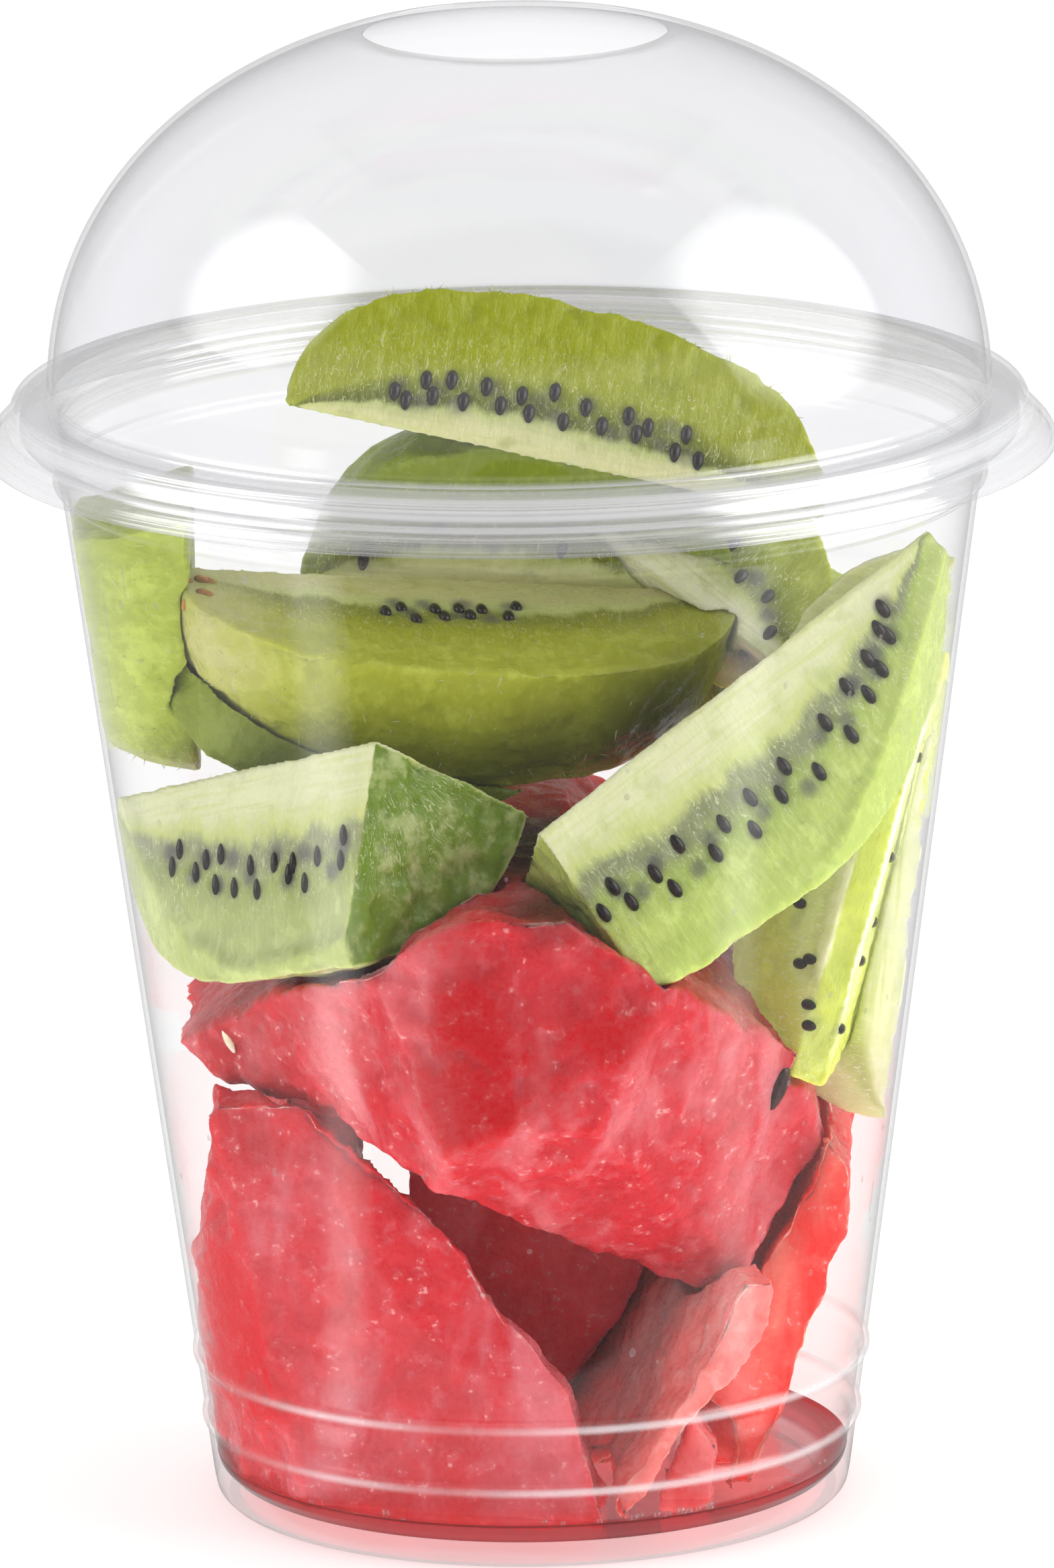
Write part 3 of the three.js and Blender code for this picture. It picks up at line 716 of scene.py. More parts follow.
def cup_outline(plastic):
    foot_inner = FOOT["radius"] - FOOT["width"]
    under = FLOOR_TOP - FLOOR_THICKNESS
    turn = BEAD["round"]
    neck = wall_radius(NECK_HEIGHT)
    start = WALL_START["radius"]
    return supported(rounded([
        (0, under),
        (foot_inner - FOOT["slope"], under),
        (foot_inner, 0),
        (FOOT["radius"], 0),
        (FOOT["radius"] + FOOT["round"], FOOT["round"]),
        (start, WALL_START["height"]),
        *wall_outline(0),
        (neck, NECK_HEIGHT),
        (neck + turn, BEAD["bottom"]),
        (BEAD["outer"] - turn, BEAD["bottom"]),
        (BEAD["outer"], BEAD["bottom"] + turn),
        (BEAD["outer"], BEAD["top"] - turn),
        (BEAD["outer"] - turn, BEAD["top"]),
        (BEAD["inner"] + turn, BEAD["top"]),
        (BEAD["inner"], BEAD["top"] - turn),
        *reversed(wall_outline(plastic)),
        (start - plastic, FLOOR_TOP + FLOOR_FILLET),
        (start - plastic - FLOOR_FILLET, FLOOR_TOP),
        (0, FLOOR_TOP),
    ]))


def dome_height(radius):
    rise = DOME_APEX - FLANGE_TOP
    drop = (radius / DOME_RADIUS) ** DOME_SHOULDER
    return FLANGE_TOP + rise * (1 - drop) ** (1 / DOME_SHOULDER)


def dome_outline():
    points = []
    for i in range(DOME_STEPS + 1):
        turn = math.cos(i / DOME_STEPS * math.pi / 2)
        radius = DOME_RADIUS * max(turn, 0) ** (2 / DOME_SHOULDER)
        if radius > HOLE_RADIUS + HOLE_LAND:
            points.append((radius, dome_height(radius)))
    return points + [(HOLE_RADIUS, dome_height(HOLE_RADIUS))]


def skirt_outline():
    points = []
    for i in range(SKIRT_STEPS + 1):
        up = i / SKIRT_STEPS
        drawn_in = float(smooth_step(0, 1, up))
        radius = SKIRT["radius"] + (SKIRT["waist"] - SKIRT["radius"]) * drawn_in
        points.append((radius, SKIRT["bottom"] + SKIRT["height"] * up))
    for i in range(1, FLANGE_STEPS + 1):
        turn = i / FLANGE_STEPS * math.pi / 2
        points.append((SKIRT["waist"] - FLANGE_ROUND * (1 - math.cos(turn)),
                       FLANGE_TOP - FLANGE_ROUND * (1 - math.sin(turn))))
    return points


def inwards(outline, distance):
    """An outline moved inwards, square to its own direction."""
    made = []
    for i, point in enumerate(outline):
        before = Vector(outline[max(i - 1, 0)])
        after = Vector(outline[min(i + 1, len(outline) - 1)])
        along = (after - before).normalized()
        made.append((point[0] - along.y * distance, point[1] + along.x * distance))
    return made


def lid_outline(plastic):
    outer = [*skirt_outline(), (DOME_RADIUS + DOME_FILLET, FLANGE_TOP), *dome_outline()]
    return [Vector(p) for p in [*outer, *reversed(inwards(outer, plastic))]]


# ---- Fruit ----

def working(name):
    """The collection of that name, made when it is first asked for."""
    found = bpy.data.collections.get(name)
    if found is None:
        found = bpy.data.collections.new(name)
        bpy.context.scene.collection.children.link(found)
    return found


def inside_of_cup(plastic):
    """The room for fruit, as a working object."""
    air = plastic + WALL_AIR
    floor = FLOOR_TOP + WALL_AIR
    return scratch_object(turned([
        (0, floor),
        (wall_radius(FLOOR_TOP) - air - FLOOR_FILLET, floor),
        (wall_radius(FLOOR_TOP + FLOOR_FILLET) - air, floor + FLOOR_FILLET),
        (wall_radius(NECK_HEIGHT) - air, NECK_HEIGHT),
        (FOOD_TOP["width"], FLANGE_TOP + FOOD_TOP["shoulder"]),
        (0, FLANGE_TOP + FOOD_TOP["height"]),
    ], 128), "inside", working("room"))


class Wedge:
    """A kiwi wedge in its own frame: along its core, aside, and out to its flesh."""

    def __init__(self, spec):
        self.spec = spec
        self.radius = spec["radius"]
        start, end = (Vector(p) for p in spec["ends"])
        self.half = (end - start).length / 2
        self.bevel = math.radians(spec["angle"] / 2)
        along = (end - start).normalized()
        up = (Vector((0, 0, 1)) - along * along.z).normalized()
        out = Quaternion(along, math.radians(spec["lean"])) @ up
        self.matrix = Matrix((along, out.cross(along), out)).transposed().to_4x4()
        self.matrix.translation = (start + end) / 2

    def square(self, way):
        return Vector((0, way * math.cos(self.bevel), -math.sin(self.bevel)))

    def outwards(self, way):
        return Vector((0, way * math.sin(self.bevel), math.cos(self.bevel)))

    def body(self, grow=0.0):
        bm = bmesh.new()
        bmesh.ops.create_uvsphere(
            bm, u_segments=KIWI_STEPS[0], v_segments=KIWI_STEPS[1], radius=1)
        power = 2 / KIWI_SHAPE
        for v in bm.verts:
            x, y, z = v.co
            ring = math.hypot(x, y)
            out = ring ** power * (self.radius + grow) / max(ring, 1e-9)
            reach = math.copysign(abs(z) ** power, z) * (self.half + grow)
            v.co = (reach, x * out, y * out)
        for way in (-1, 1):
            slice_off(bm, self.square(way) * grow, self.square(way))
        bmesh.ops.transform(bm, matrix=self.matrix, verts=bm.verts)
        for point, normal in self.spec.get("facets", []):
            normal = Vector(normal).normalized()
            slice_off(bm, Vector(point) + normal * grow, normal)
        return bm

    def measured(self, places):
        """For points in the cup's frame: along, aside, out, radius and share of the radius."""
        turn = np.array(self.matrix.inverted())
        own = places @ turn[:3, :3].T + turn[:3, 3]
        around = np.hypot(own[:, 1], own[:, 2])
        reach = np.clip(np.abs(own[:, 0]) / self.half, 0, 0.995)
        full = self.radius * (1 - reach ** KIWI_SHAPE) ** (1 / KIWI_SHAPE)
        return own, around, around / full

    def seed_places(self, draw, share=1.0, depth=0.0):
        """Places of seeds on both cut faces, each with the face's outward direction."""
        made = []
        for way, count in zip((-1, 1), self.spec["seeds"]):
            count = round(count * share)
            ring = self.spec.get("ring", SEED_RING["out"])
            first, last = self.spec.get("span", SEED_RING["span"])
            for i in range(count):
                step = (i + 0.5 + (draw.random() - 0.5) * SEED_JITTER["along"]) / count
                angle = math.radians(first + (last - first) * step)
                row = (i % 2) - 0.5 + (draw.random() - 0.5) * SEED_JITTER["out"]
                out = ring + SEED_RING["spread"] * row
                along = math.cos(angle) * SEED_RING["along"] * self.half
                place = (Vector((along, 0, 0))
                         + self.outwards(way) * (math.sin(angle) * out * self.radius)
                         - self.square(way) * depth)
                turn = self.matrix.to_3x3()
                made.append((self.matrix @ place, turn @ self.square(way),
                             turn @ self.outwards(way)))
        return made


def widened(outline, distance):
    """An outline of (x, z) pairs, listed anticlockwise, with every side moved outwards."""
    points = [Vector(p) for p in outline]
    count = len(points)
    square = []
    for i, point in enumerate(points):
        along = points[(i + 1) % count] - point
        square.append(Vector((along.y, -along.x)).normalized())
    made = []
    for i, point in enumerate(points):
        both = square[i] + square[i - 1]
        made.append(point + both * (distance / both.dot(square[i])))
    return made


def melon_body(spec, grow=0.0):
    """A chunk cut from front to back along an outline, then trimmed by slanting faces."""
    bm = bmesh.new()
    front, back = spec["front"] - grow, spec["back"] + grow
    corners = [bm.verts.new((x, front, z)) for x, z in widened(spec["outline"], grow)]
    face = bm.faces.new(corners)
    made = bmesh.ops.extrude_face_region(bm, geom=[face])
    moved = [g for g in made["geom"] if isinstance(g, bmesh.types.BMVert)]
    bmesh.ops.translate(bm, verts=moved, vec=(0, back - front, 0))
    drift = math.tan(math.radians(spec.get("swing", 0)))
    for v in bm.verts:
        v.co.x += drift * (v.co.y - spec["front"])
    bmesh.ops.recalc_face_normals(bm, faces=bm.faces)
    for point, normal in spec.get("facets", []):
        normal = Vector(normal).normalized()
        slice_off(bm, Vector(point) + normal * grow, normal)
    return bm


def keep_largest(mesh):
    """Removes all but the largest of the separate parts that cutting leaves."""
    bm = bmesh.new()
    bm.from_mesh(mesh)
    left = set(bm.verts)
    parts = []
    while left:
        part, edge = set(), [left.pop()]
        while edge:
            v = edge.pop()
            part.add(v)
            near = {e.other_vert(v) for e in v.link_edges} & left
            left -= near
            edge += near
        parts.append(part)
    parts.sort(key=len)
    for part in parts[:-1]:
        bmesh.ops.delete(bm, geom=list(part), context="VERTS")
    bm.to_mesh(mesh)
    bm.free()


def carved(body, name, voxel, smoothing):
    """The body kept inside the cup and clear of the pieces before it, as an even mesh."""
    rest = scratch_object(body, name, working("room"))
    earlier = working("earlier pieces")
    if earlier.objects:
        cut = rest.modifiers.new("clear of neighbours", "BOOLEAN")
        cut.operation, cut.solver = "DIFFERENCE", "MANIFOLD"
        cut.operand_type, cut.collection = "COLLECTION", earlier
    keep = rest.modifiers.new("inside the cup", "BOOLEAN")
    keep.operation, keep.solver = "INTERSECT", "MANIFOLD"
    keep.object = bpy.data.objects["inside"]
    even = rest.modifiers.new("even", "REMESH")
    even.mode, even.voxel_size = "VOXEL", voxel
    soft = rest.modifiers.new("soft", "SMOOTH")
    soft.factor, soft.iterations = 0.5, smoothing
    depsgraph = bpy.context.evaluated_depsgraph_get()
    mesh = bpy.data.meshes.new_from_object(rest.evaluated_get(depsgraph))
    bpy.data.objects.remove(rest)
    keep_largest(mesh)
    mesh.name = name
    return mesh


def places_of(mesh):
    co = np.empty(len(mesh.vertices) * 3, np.float32)
    mesh.vertices.foreach_get("co", co)
    return co.reshape(-1, 3).astype(float)


def normals_of(mesh):
    normals = np.empty(len(mesh.vertices) * 3, np.float32)
    mesh.vertex_normals.foreach_get("vector", normals)
    return normals.reshape(-1, 3).astype(float)


def set_places(mesh, places):
    mesh.vertices.foreach_set("co", places.astype(np.float32).ravel())
    mesh.update()


def store(mesh, name, values):
    """Keeps one number, or one direction, for each point of a mesh."""
    values = np.asarray(values, np.float32)
    kind, key = ("FLOAT", "value") if values.ndim == 1 else ("FLOAT_VECTOR", "vector")
    mesh.attributes.new(name, kind, "POINT").data.foreach_set(key, values.ravel())


def clouds(places, size, octaves=3):
    """Smooth noise from about -1 to 1, whose features are size across."""
    return np.array([noise.fractal(p, 1.0, 2.0, octaves) for p in (places / size).tolist()])


def dents(places, size, depth, level, octaves=2):
    """Dents of that size and depth, where smooth noise falls under the level."""
    return depth * np.minimum(clouds(places, size, octaves) - level, 0)


def shaded(places, spec):
    """Painted shade: how dark the flesh is painted in the hollows where little light comes."""
    shade = np.zeros(len(places))
    for centre, reach, most in spec.get("hollows", []):
        away = np.linalg.norm(places - np.array(centre), axis=1)
        shade = np.maximum(shade, most * smooth_step(reach, PAINTED_SHADE_HEART * reach, away))
    return shade


def pressed(places, plastic):
    """Presses fruit that is near to the wall flat against it. Gives places and wetness."""
    out = np.hypot(places[:, 0], places[:, 1])
    inner = wall_radius(places[:, 2]) - plastic
    air = inner - out
    ragged = PRESS["ragged"] * clouds(places, PRESS["size"], 4)
    wet = smooth_step(*PRESS["air"], air + ragged)
    wet *= places[:, 2] < LEDGE["height"] - LEDGE["reach"]
    target = np.where(wet > 0, out + wet * (air + INTO_WALL), out)
    target = np.where(wet < 0.5, np.minimum(target, inner - WALL_AIR), target)
    scale = target / np.maximum(out, 1e-6)
    moved = places.copy()
    moved[:, 0] *= scale
    moved[:, 1] *= scale
    moved[:, 2] = np.maximum(moved[:, 2], FLOOR_TOP + PRESS["over_floor"])
    return moved, wet


def seed_mesh(seeds, name):
    """Joined seeds. Each is a flattened drop, its narrow end towards the core."""
    bm = bmesh.new()
    for place, square, outwards, slim, (long, wide, thick) in seeds:
        made = bmesh.ops.create_uvsphere(
            bm, u_segments=SEED_STEPS[0], v_segments=SEED_STEPS[1], radius=0.5)["verts"]
        for v in made:
            narrow = slim * (1 - SEED_TAPER * (0.5 - v.co.z))
            v.co.x *= narrow * wide
            v.co.y *= narrow * thick
            v.co.z *= long
        aside = square.cross(outwards).normalized()
        turn = Matrix((aside, square, outwards)).transposed().to_4x4()
        turn.translation = place
        bmesh.ops.transform(bm, matrix=turn, verts=made)
    bmesh.ops.recalc_face_normals(bm, faces=bm.faces)
    return mesh_of(bm, name)


def socketed(places, normals, seeds, slim, sizes):
    """Dents the flesh round each seed. Gives places, seeds that lie on it and their halo."""
    tree = kdtree.KDTree(len(places))
    for i, place in enumerate(places):
        tree.insert(place, i)
    tree.balance()
    halo = np.zeros(len(places))
    dent = np.zeros(len(places))
    kept = []
    for place, square, outwards in seeds:
        near, index, distance = tree.find(place)
        if distance > SOCKET["far"] or Vector(normals[index]).dot(square) < SOCKET["level"]:
            continue
        kept.append((near - square * SEED_SUNK, square, outwards, slim, sizes))
        for _, i, away in tree.find_range(place, SOCKET["halo"]):
            halo[i] = max(halo[i], 1 - away / SOCKET["halo"])
            dent[i] = max(dent[i], 1 - away / SOCKET["reach"])
    sunk = SOCKET["depth"] * smooth_step(0, SOCKET["round"], dent)
    places = places - normals * sunk[:, None]
    return places, kept, halo ** SOCKET["fade"]


def make_wedge(spec, look, plastic):
    """One kiwi wedge with its threads, sockets and pressed faces. Gives its seeds."""
    wedge = Wedge(spec)
    mesh = carved(wedge.body(), spec["name"], KIWI_VOXEL, KIWI_SMOOTHING)
    scratch_object(wedge.body(GAP / 4), "room for " + spec["name"], working("earlier pieces"))
    draw = random.Random(spec["name"])
    places, normals = places_of(mesh), normals_of(mesh)
    own, around, depth = wedge.measured(places)
    around_angle = np.arctan2(own[:, 1], own[:, 2])
    grain = np.stack([own[:, 0], around_angle * wedge.radius * THREADS["round"],
                      around * THREADS["out"]], 1)
    taper = np.clip(1 - (own[:, 0] / (CORE_REACH * wedge.half)) ** 2, 0.02, 1) ** CORE_TAPER
    core = spec.get("narrow", 1.0) * around / (wedge.radius * taper)
    cut = smooth_step(*CUT_FACE, depth)
    fibrous = cut * smooth_step(*THREADS["from_core"], core)
    relief = look.grain / MM * clouds(
        grain + [0, 0, wedge.radius], THREADS["size"], 2) * fibrous
    relief += dents(places, *KIWI_DENTS["broad"]) * (0.25 + 0.75 * (1 - cut))
    relief += dents(places, *KIWI_DENTS["peeled"]) * smooth_step(0.5, 0.8, depth)
    cross = np.zeros(len(places))
    for _, normal in spec.get("facets", []):
        square = np.array(Vector(normal).normalized())
        cross = np.maximum(cross, smooth_step(*ON_FACET, normals @ square))
    relief += dents(places, *KIWI_DENTS["cross"]) * cross
    places = places + normals * relief[:, None]
    sizes = (look.seed_length / MM, look.seed_width / MM, SEED_THICKNESS)
    places, seeds, halo = socketed(places, normals, wedge.seed_places(draw),
                                   spec.get("slim", 1.0), sizes)
    dim = np.zeros(len(places))
    for place, *_ in wedge.seed_places(draw, SUNK_SEEDS["share"]):
        away = np.linalg.norm(places - np.array(place), axis=1)
        dim = np.maximum(dim, smooth_step(*SUNK_SEEDS["reach"], away))
    places, wet = pressed(places, plastic)
    set_places(mesh, places)
    end = smooth_step(*PALE_END, own[:, 0] / wedge.half * spec.get("end", 0))
    along = own * CORE_LINES
    for name, values in (("grain", grain), ("depth", depth), ("halo", halo), ("dim", dim),
                         ("wet", wet), ("core", core), ("cross", cross), ("end", end),
                         ("along", along), ("shade", shaded(places, spec))):
        store(mesh, name, values)
    material = kiwi_flesh(look, "flesh of " + spec["name"], spec)
    finished(spec["name"], mesh, material, spec["name"])
    return seeds, loose_fibres(spec, places, normals, depth), places, normals


def loose_fibres(spec, places, normals, depth):
    """Roots and directions of the fine fibres that stand up where the skin was peeled off."""
    if "fibres" not in spec:
        return []
    count, way = spec["fibres"]
    draw = random.Random("fibres of " + spec["name"])
    facing = normals @ np.array(Vector(way).normalized())
    roots = np.flatnonzero((depth > PEELED) & (facing > 0.5))
    made = []
    for _ in range(count if len(roots) else 0):
        root = draw.choice(roots.tolist())
        bent = Vector(draw.uniform(-1, 1) for _ in range(3)) * FIBRE["spread"]
        made.append((Vector(places[root]), (Vector(normals[root]) + bent).normalized(),
                     draw.uniform(*FIBRE["length"])))
    return made


def fibre_mesh(fibres, name):
    bm = bmesh.new()
    for root, way, long in fibres:
        verts = bmesh.ops.create_cone(
            bm, cap_ends=True, cap_tris=True, segments=4, radius1=FIBRE["radius"],
            radius2=FIBRE["tip"], depth=long)["verts"]
        turn = way.to_track_quat("Z", "Y").to_matrix().to_4x4()
        turn.translation = root + way * (FIBRE["out"] * long)
        bmesh.ops.transform(bm, matrix=turn, verts=verts)
    bmesh.ops.recalc_face_normals(bm, faces=bm.faces)
    return mesh_of(bm, name)


def stem_bits(places, normals):
    """Brown remains of the stem, on the blunt end of a wedge."""
    made = []
    for at, sizes in STEM_BITS:
        nearest = np.argmin(np.linalg.norm(places - np.array(at), axis=1))
        square = Vector(normals[nearest])
        along = square.cross(Vector((0.3, 1, 0.2))).normalized()
        made.append((Vector(places[nearest]), square, along, 1.0, sizes))
    return made


def make_chunk(spec, look, plastic):
    """One melon chunk with its grain and its pressed faces."""
    mesh = carved(melon_body(spec), spec["name"], MELON_VOXEL, MELON_SMOOTHING)
    scratch_object(melon_body(spec, GAP), "room for " + spec["name"],
                   working("earlier pieces"))
    places, normals = places_of(mesh), normals_of(mesh)
    waves = sum(part * clouds(places, size, 2)
                for part, size in (MELON_WAVES["broad"], MELON_WAVES["small"]))
    relief = look.waves / MM * np.minimum(waves - MELON_WAVES["level"], 0)
    relief += dents(places, MELON_GRAIN["size"], look.grain / MM, MELON_GRAIN["level"], 3)
    places = places + normals * relief[:, None]
    places, wet = pressed(places, plastic)
    set_places(mesh, places)
    store(mesh, "wet", wet)
    store(mesh, "grain", places * STREAK_SHAPE)
    store(mesh, "shade", shaded(places, spec))
    material = melon_flesh(look, "flesh of " + spec["name"], spec["flesh"])
    finished(spec["name"], mesh, material, spec["name"])
    for seed in MELON_SEEDS:
        if seed["node"] == spec["name"]:
            make_melon_seed(seed, places, normals, look)


def make_melon_seed(seed, places, normals, look):
    """One melon seed, half sunk where the flesh is nearest to its place."""
    nearest = np.argmin(np.linalg.norm(places - np.array(seed["at"]), axis=1))
    square = Vector(normals[nearest])
    up = Vector(seed["up"])
    along = (up - square * up.dot(square)).normalized()
    mesh = seed_mesh([(Vector(places[nearest]), square, along, 1.0, seed["size"])],
                     seed["name"])
    finished(seed["name"], mesh, seed_coat(seed["name"], getattr(look, seed["tone"])))


# ---- Juice ----

def juice_outline(plastic, depth):
    """The pool on the cup's floor, drawn up a little where it meets the wall."""
    low, top = FLOOR_TOP + JUICE_AIR["floor"], FLOOR_TOP + depth
    foot = WALL_START["radius"] - plastic - JUICE_AIR["wall"]
    drawn_up = top + MENISCUS["rise"]

    def wall(height):
        return wall_radius(height) - plastic - JUICE_AIR["wall"]
    return rounded([
        (0, low), (foot - FLOOR_FILLET, low), (foot, low + FLOOR_FILLET),
        (wall(drawn_up), drawn_up),
        *((wall(top) - back, top + up) for back, up in MENISCUS["curve"]),
        (0, top)], CORNER / 2)


def on_wall(turn, height, plastic):
    """A place on the wall's inner face, and the way out of the cup there."""
    angle = math.radians(turn)
    out = Vector((math.sin(angle), -math.cos(angle), -WALL_SLOPE)).normalized()
    radius = wall_radius(height) - plastic
    return Vector((math.sin(angle) * radius, -math.cos(angle) * radius, height)), out


def wall_drops(count, plastic):
    """Small flattened drops and runs of juice that cling to the inside of the wall."""
    draw = random.Random("drops")
    made = []
    for _ in range(count):
        turn, height = draw.uniform(*DROPS["turns"]), draw.uniform(*DROPS["heights"])
        size = draw.uniform(*DROPS["sizes"])
        made.append((turn, height, size * draw.uniform(*DROPS["stretch"]), size))
    made += [(turn, height, long, STREAK_WIDTH) for turn, height, long in STREAKS]
    bm = bmesh.new()
    for turn, height, long, wide in made:
        place, out = on_wall(turn, height, plastic)
        up = (Vector((0, 0, 1)) - out * out.z).normalized()
        verts = bmesh.ops.create_uvsphere(bm, u_segments=12, v_segments=7, radius=0.5)["verts"]
        bmesh.ops.scale(bm, vec=(wide, DROPS["flat"], long), verts=verts)
        turned_to = Matrix((up.cross(out), out, up)).transposed().to_4x4()
        turned_to.translation = place - out * (DROPS["flat"] / 2 + DROPS["air"])
        bmesh.ops.transform(bm, matrix=turned_to, verts=verts)
    bmesh.ops.recalc_face_normals(bm, faces=bm.faces)
    return mesh_of(bm, "wall_drops")


def bubbles(plastic, depth):
    """Small bubbles along the edge of the juice."""
    draw = random.Random("bubbles")
    bm = bmesh.new()
    top = FLOOR_TOP + depth
    for i in range(BUBBLES["count"]):
        size = draw.uniform(*BUBBLES["sizes"])
        low, high = BUBBLES["turns"] if i % 2 else BUBBLES["cluster"]
        place, out = on_wall(draw.uniform(low, high), top + BUBBLES["over"], plastic)
        place -= out * (size + BUBBLES["air"] + draw.random() * BUBBLES["spread"])
        verts = bmesh.ops.create_icosphere(bm, subdivisions=2, radius=size)["verts"]
        rise = Vector((0, 0, BUBBLES["rise"] * size))
        bmesh.ops.translate(bm, vec=place + rise, verts=verts)
    bmesh.ops.recalc_face_normals(bm, faces=bm.faces)
    return mesh_of(bm, "juice_bubbles")


# ---- Operators ----

class FRUITCUP_OT_cup(bpy.types.Operator):
    """Make the clear cup"""
    bl_idname = "fruitcup.cup"
    bl_label = "Cup"

    def execute(self, context):
        look = context.scene.fruitcup_plastic
        body = turned(cup_outline(look.thickness / MM), look.steps)
        plastic = clear_plastic(look, "clear cup", look.cup_tint)
        finished("cup_body", mesh_of(body, "cup_body"), plastic, "cup")
        return {"FINISHED"}


class FRUITCUP_OT_lid(bpy.types.Operator):
    """Make the domed lid with its round hole"""
    bl_idname = "fruitcup.lid"
    bl_label = "Lid"

    def execute(self, context):
        look = context.scene.fruitcup_plastic
        body = turned(lid_outline(look.thickness / MM), look.steps, closed=True)
        plastic = clear_plastic(look, "clear lid", look.lid_tint)
        finished("lid_body", mesh_of(body, "lid_body"), plastic, "lid")
        return {"FINISHED"}


class FRUITCUP_OT_kiwis(bpy.types.Operator):
    """Make the kiwi wedges and their seeds"""
    bl_idname = "fruitcup.kiwis"
    bl_label = "Kiwi wedges"

    def execute(self, context):
        look = context.scene.fruitcup_kiwi
        plastic = context.scene.fruitcup_plastic.thickness / MM
        inside_of_cup(plastic)
        seeds, fibres, bits = [], [], []
        for spec in KIWIS:
            more_seeds, more_fibres, places, normals = make_wedge(spec, look, plastic)
            seeds += more_seeds
            fibres += more_fibres
            if spec["name"] == STEM_WEDGE:
                bits = stem_bits(places, normals)
        finished("kiwi_seeds", seed_mesh(seeds, "kiwi_seeds"),
                 seed_coat("kiwi seed", tuple(look.seed)))
        finished("kiwi_fibres", fibre_mesh(fibres, "kiwi_fibres"), fibre_look(look))
        finished("stem_bits", seed_mesh(bits, "stem_bits"),
                 seed_coat("stem", linear(STEM_TONE)))
        return {"FINISHED"}


class FRUITCUP_OT_melons(bpy.types.Operator):
    """Make the melon chunks, which fill the cup under the kiwi wedges"""
    bl_idname = "fruitcup.melons"
    bl_label = "Melon chunks"

    def execute(self, context):
        look = context.scene.fruitcup_melon
        plastic = context.scene.fruitcup_plastic.thickness / MM
        for spec in MELONS:
            make_chunk(spec, look, plastic)
        for name in ("room", "earlier pieces"):
            for left in list(working(name).objects):
                bpy.data.objects.remove(left)
            bpy.data.collections.remove(working(name))
        return {"FINISHED"}


class FRUITCUP_OT_juice(bpy.types.Operator):
    """Make the juice with its bubbles, and the drops on the wall"""
    bl_idname = "fruitcup.juice"
    bl_label = "Juice and drops"

    def execute(self, context):
        look = context.scene.fruitcup_juice
        plastic = context.scene.fruitcup_plastic.thickness / MM
        depth = look.depth / MM
        pool = turned(juice_outline(plastic, depth), 128)
        finished("juice", mesh_of(pool, "juice"), juice(look))
        finished("juice_bubbles", bubbles(plastic, depth), wet_film("bubbles"))
        finished("wall_drops", wall_drops(look.drops, plastic), wet_film("drops"))
        return {"FINISHED"}


CAMERA = {"target": (0.26, 0, 68.5), "distance": 1700, "elevation": 13.5, "roll": -0.7,
          "lens": 413.42, "sensor": 36, "clip": (0.1, 20)}
FLOOR_HALF = 4500
FLOOR_CLOUDS = {"scale": 3.0, "darker": 0.985}
FLOOR_GLOW = {"seen": 0.65, "cast": 2.2, "beside": 0.55, "behind": 1.0}
BEHIND = (0.3, 0.7)      # distance behind the cup for each distance beside it
AIM = (0, 0, 80)         # where the softboxes point
SOFTBOXES = [
    {"name": "left softbox", "turn": -80, "rise": 36, "distance": 1100, "size": (900, 760),
     "brightness": 1.5, "mirrored": 4.3},
    {"name": "right softbox", "turn": 80, "rise": 30, "distance": 1100, "size": (1000, 1150),
     "brightness": 2.0, "mirrored": 4.9},
    {"name": "top softbox", "turn": 180, "rise": 68, "distance": 1500, "size": (1300, 900),
     "brightness": 1.2, "mirrored": 1.0},
]
SKY = {"light": 0.85, "mirrored": 0.85, "dark": 0.08}
DARK_RISE = (0.34, 0.58)  # sine of the height over which the mirrored sky darkens in front
DARK_FRONT = (0.1, 0.35)
FLAG = {"half": 165, "from": -62, "to": -1500, "height": 1.0, "shade": 0.12}
STRIPS = {"turns": (-52, 58), "half": 9, "even": 0.15, "near": 46, "far": 1500,
          "height": 2.0, "shade": 1.9}
FADE = {"reach": (0.5, 0.9), "least": 0.4}  # shares of the way to a softbox's corners
CLEAR_LAYERS = 48        # faces of clear plastic that a ray may pass
TURNS_OF_LIGHT = 2       # times that light turns on matt faces, and on shiny ones


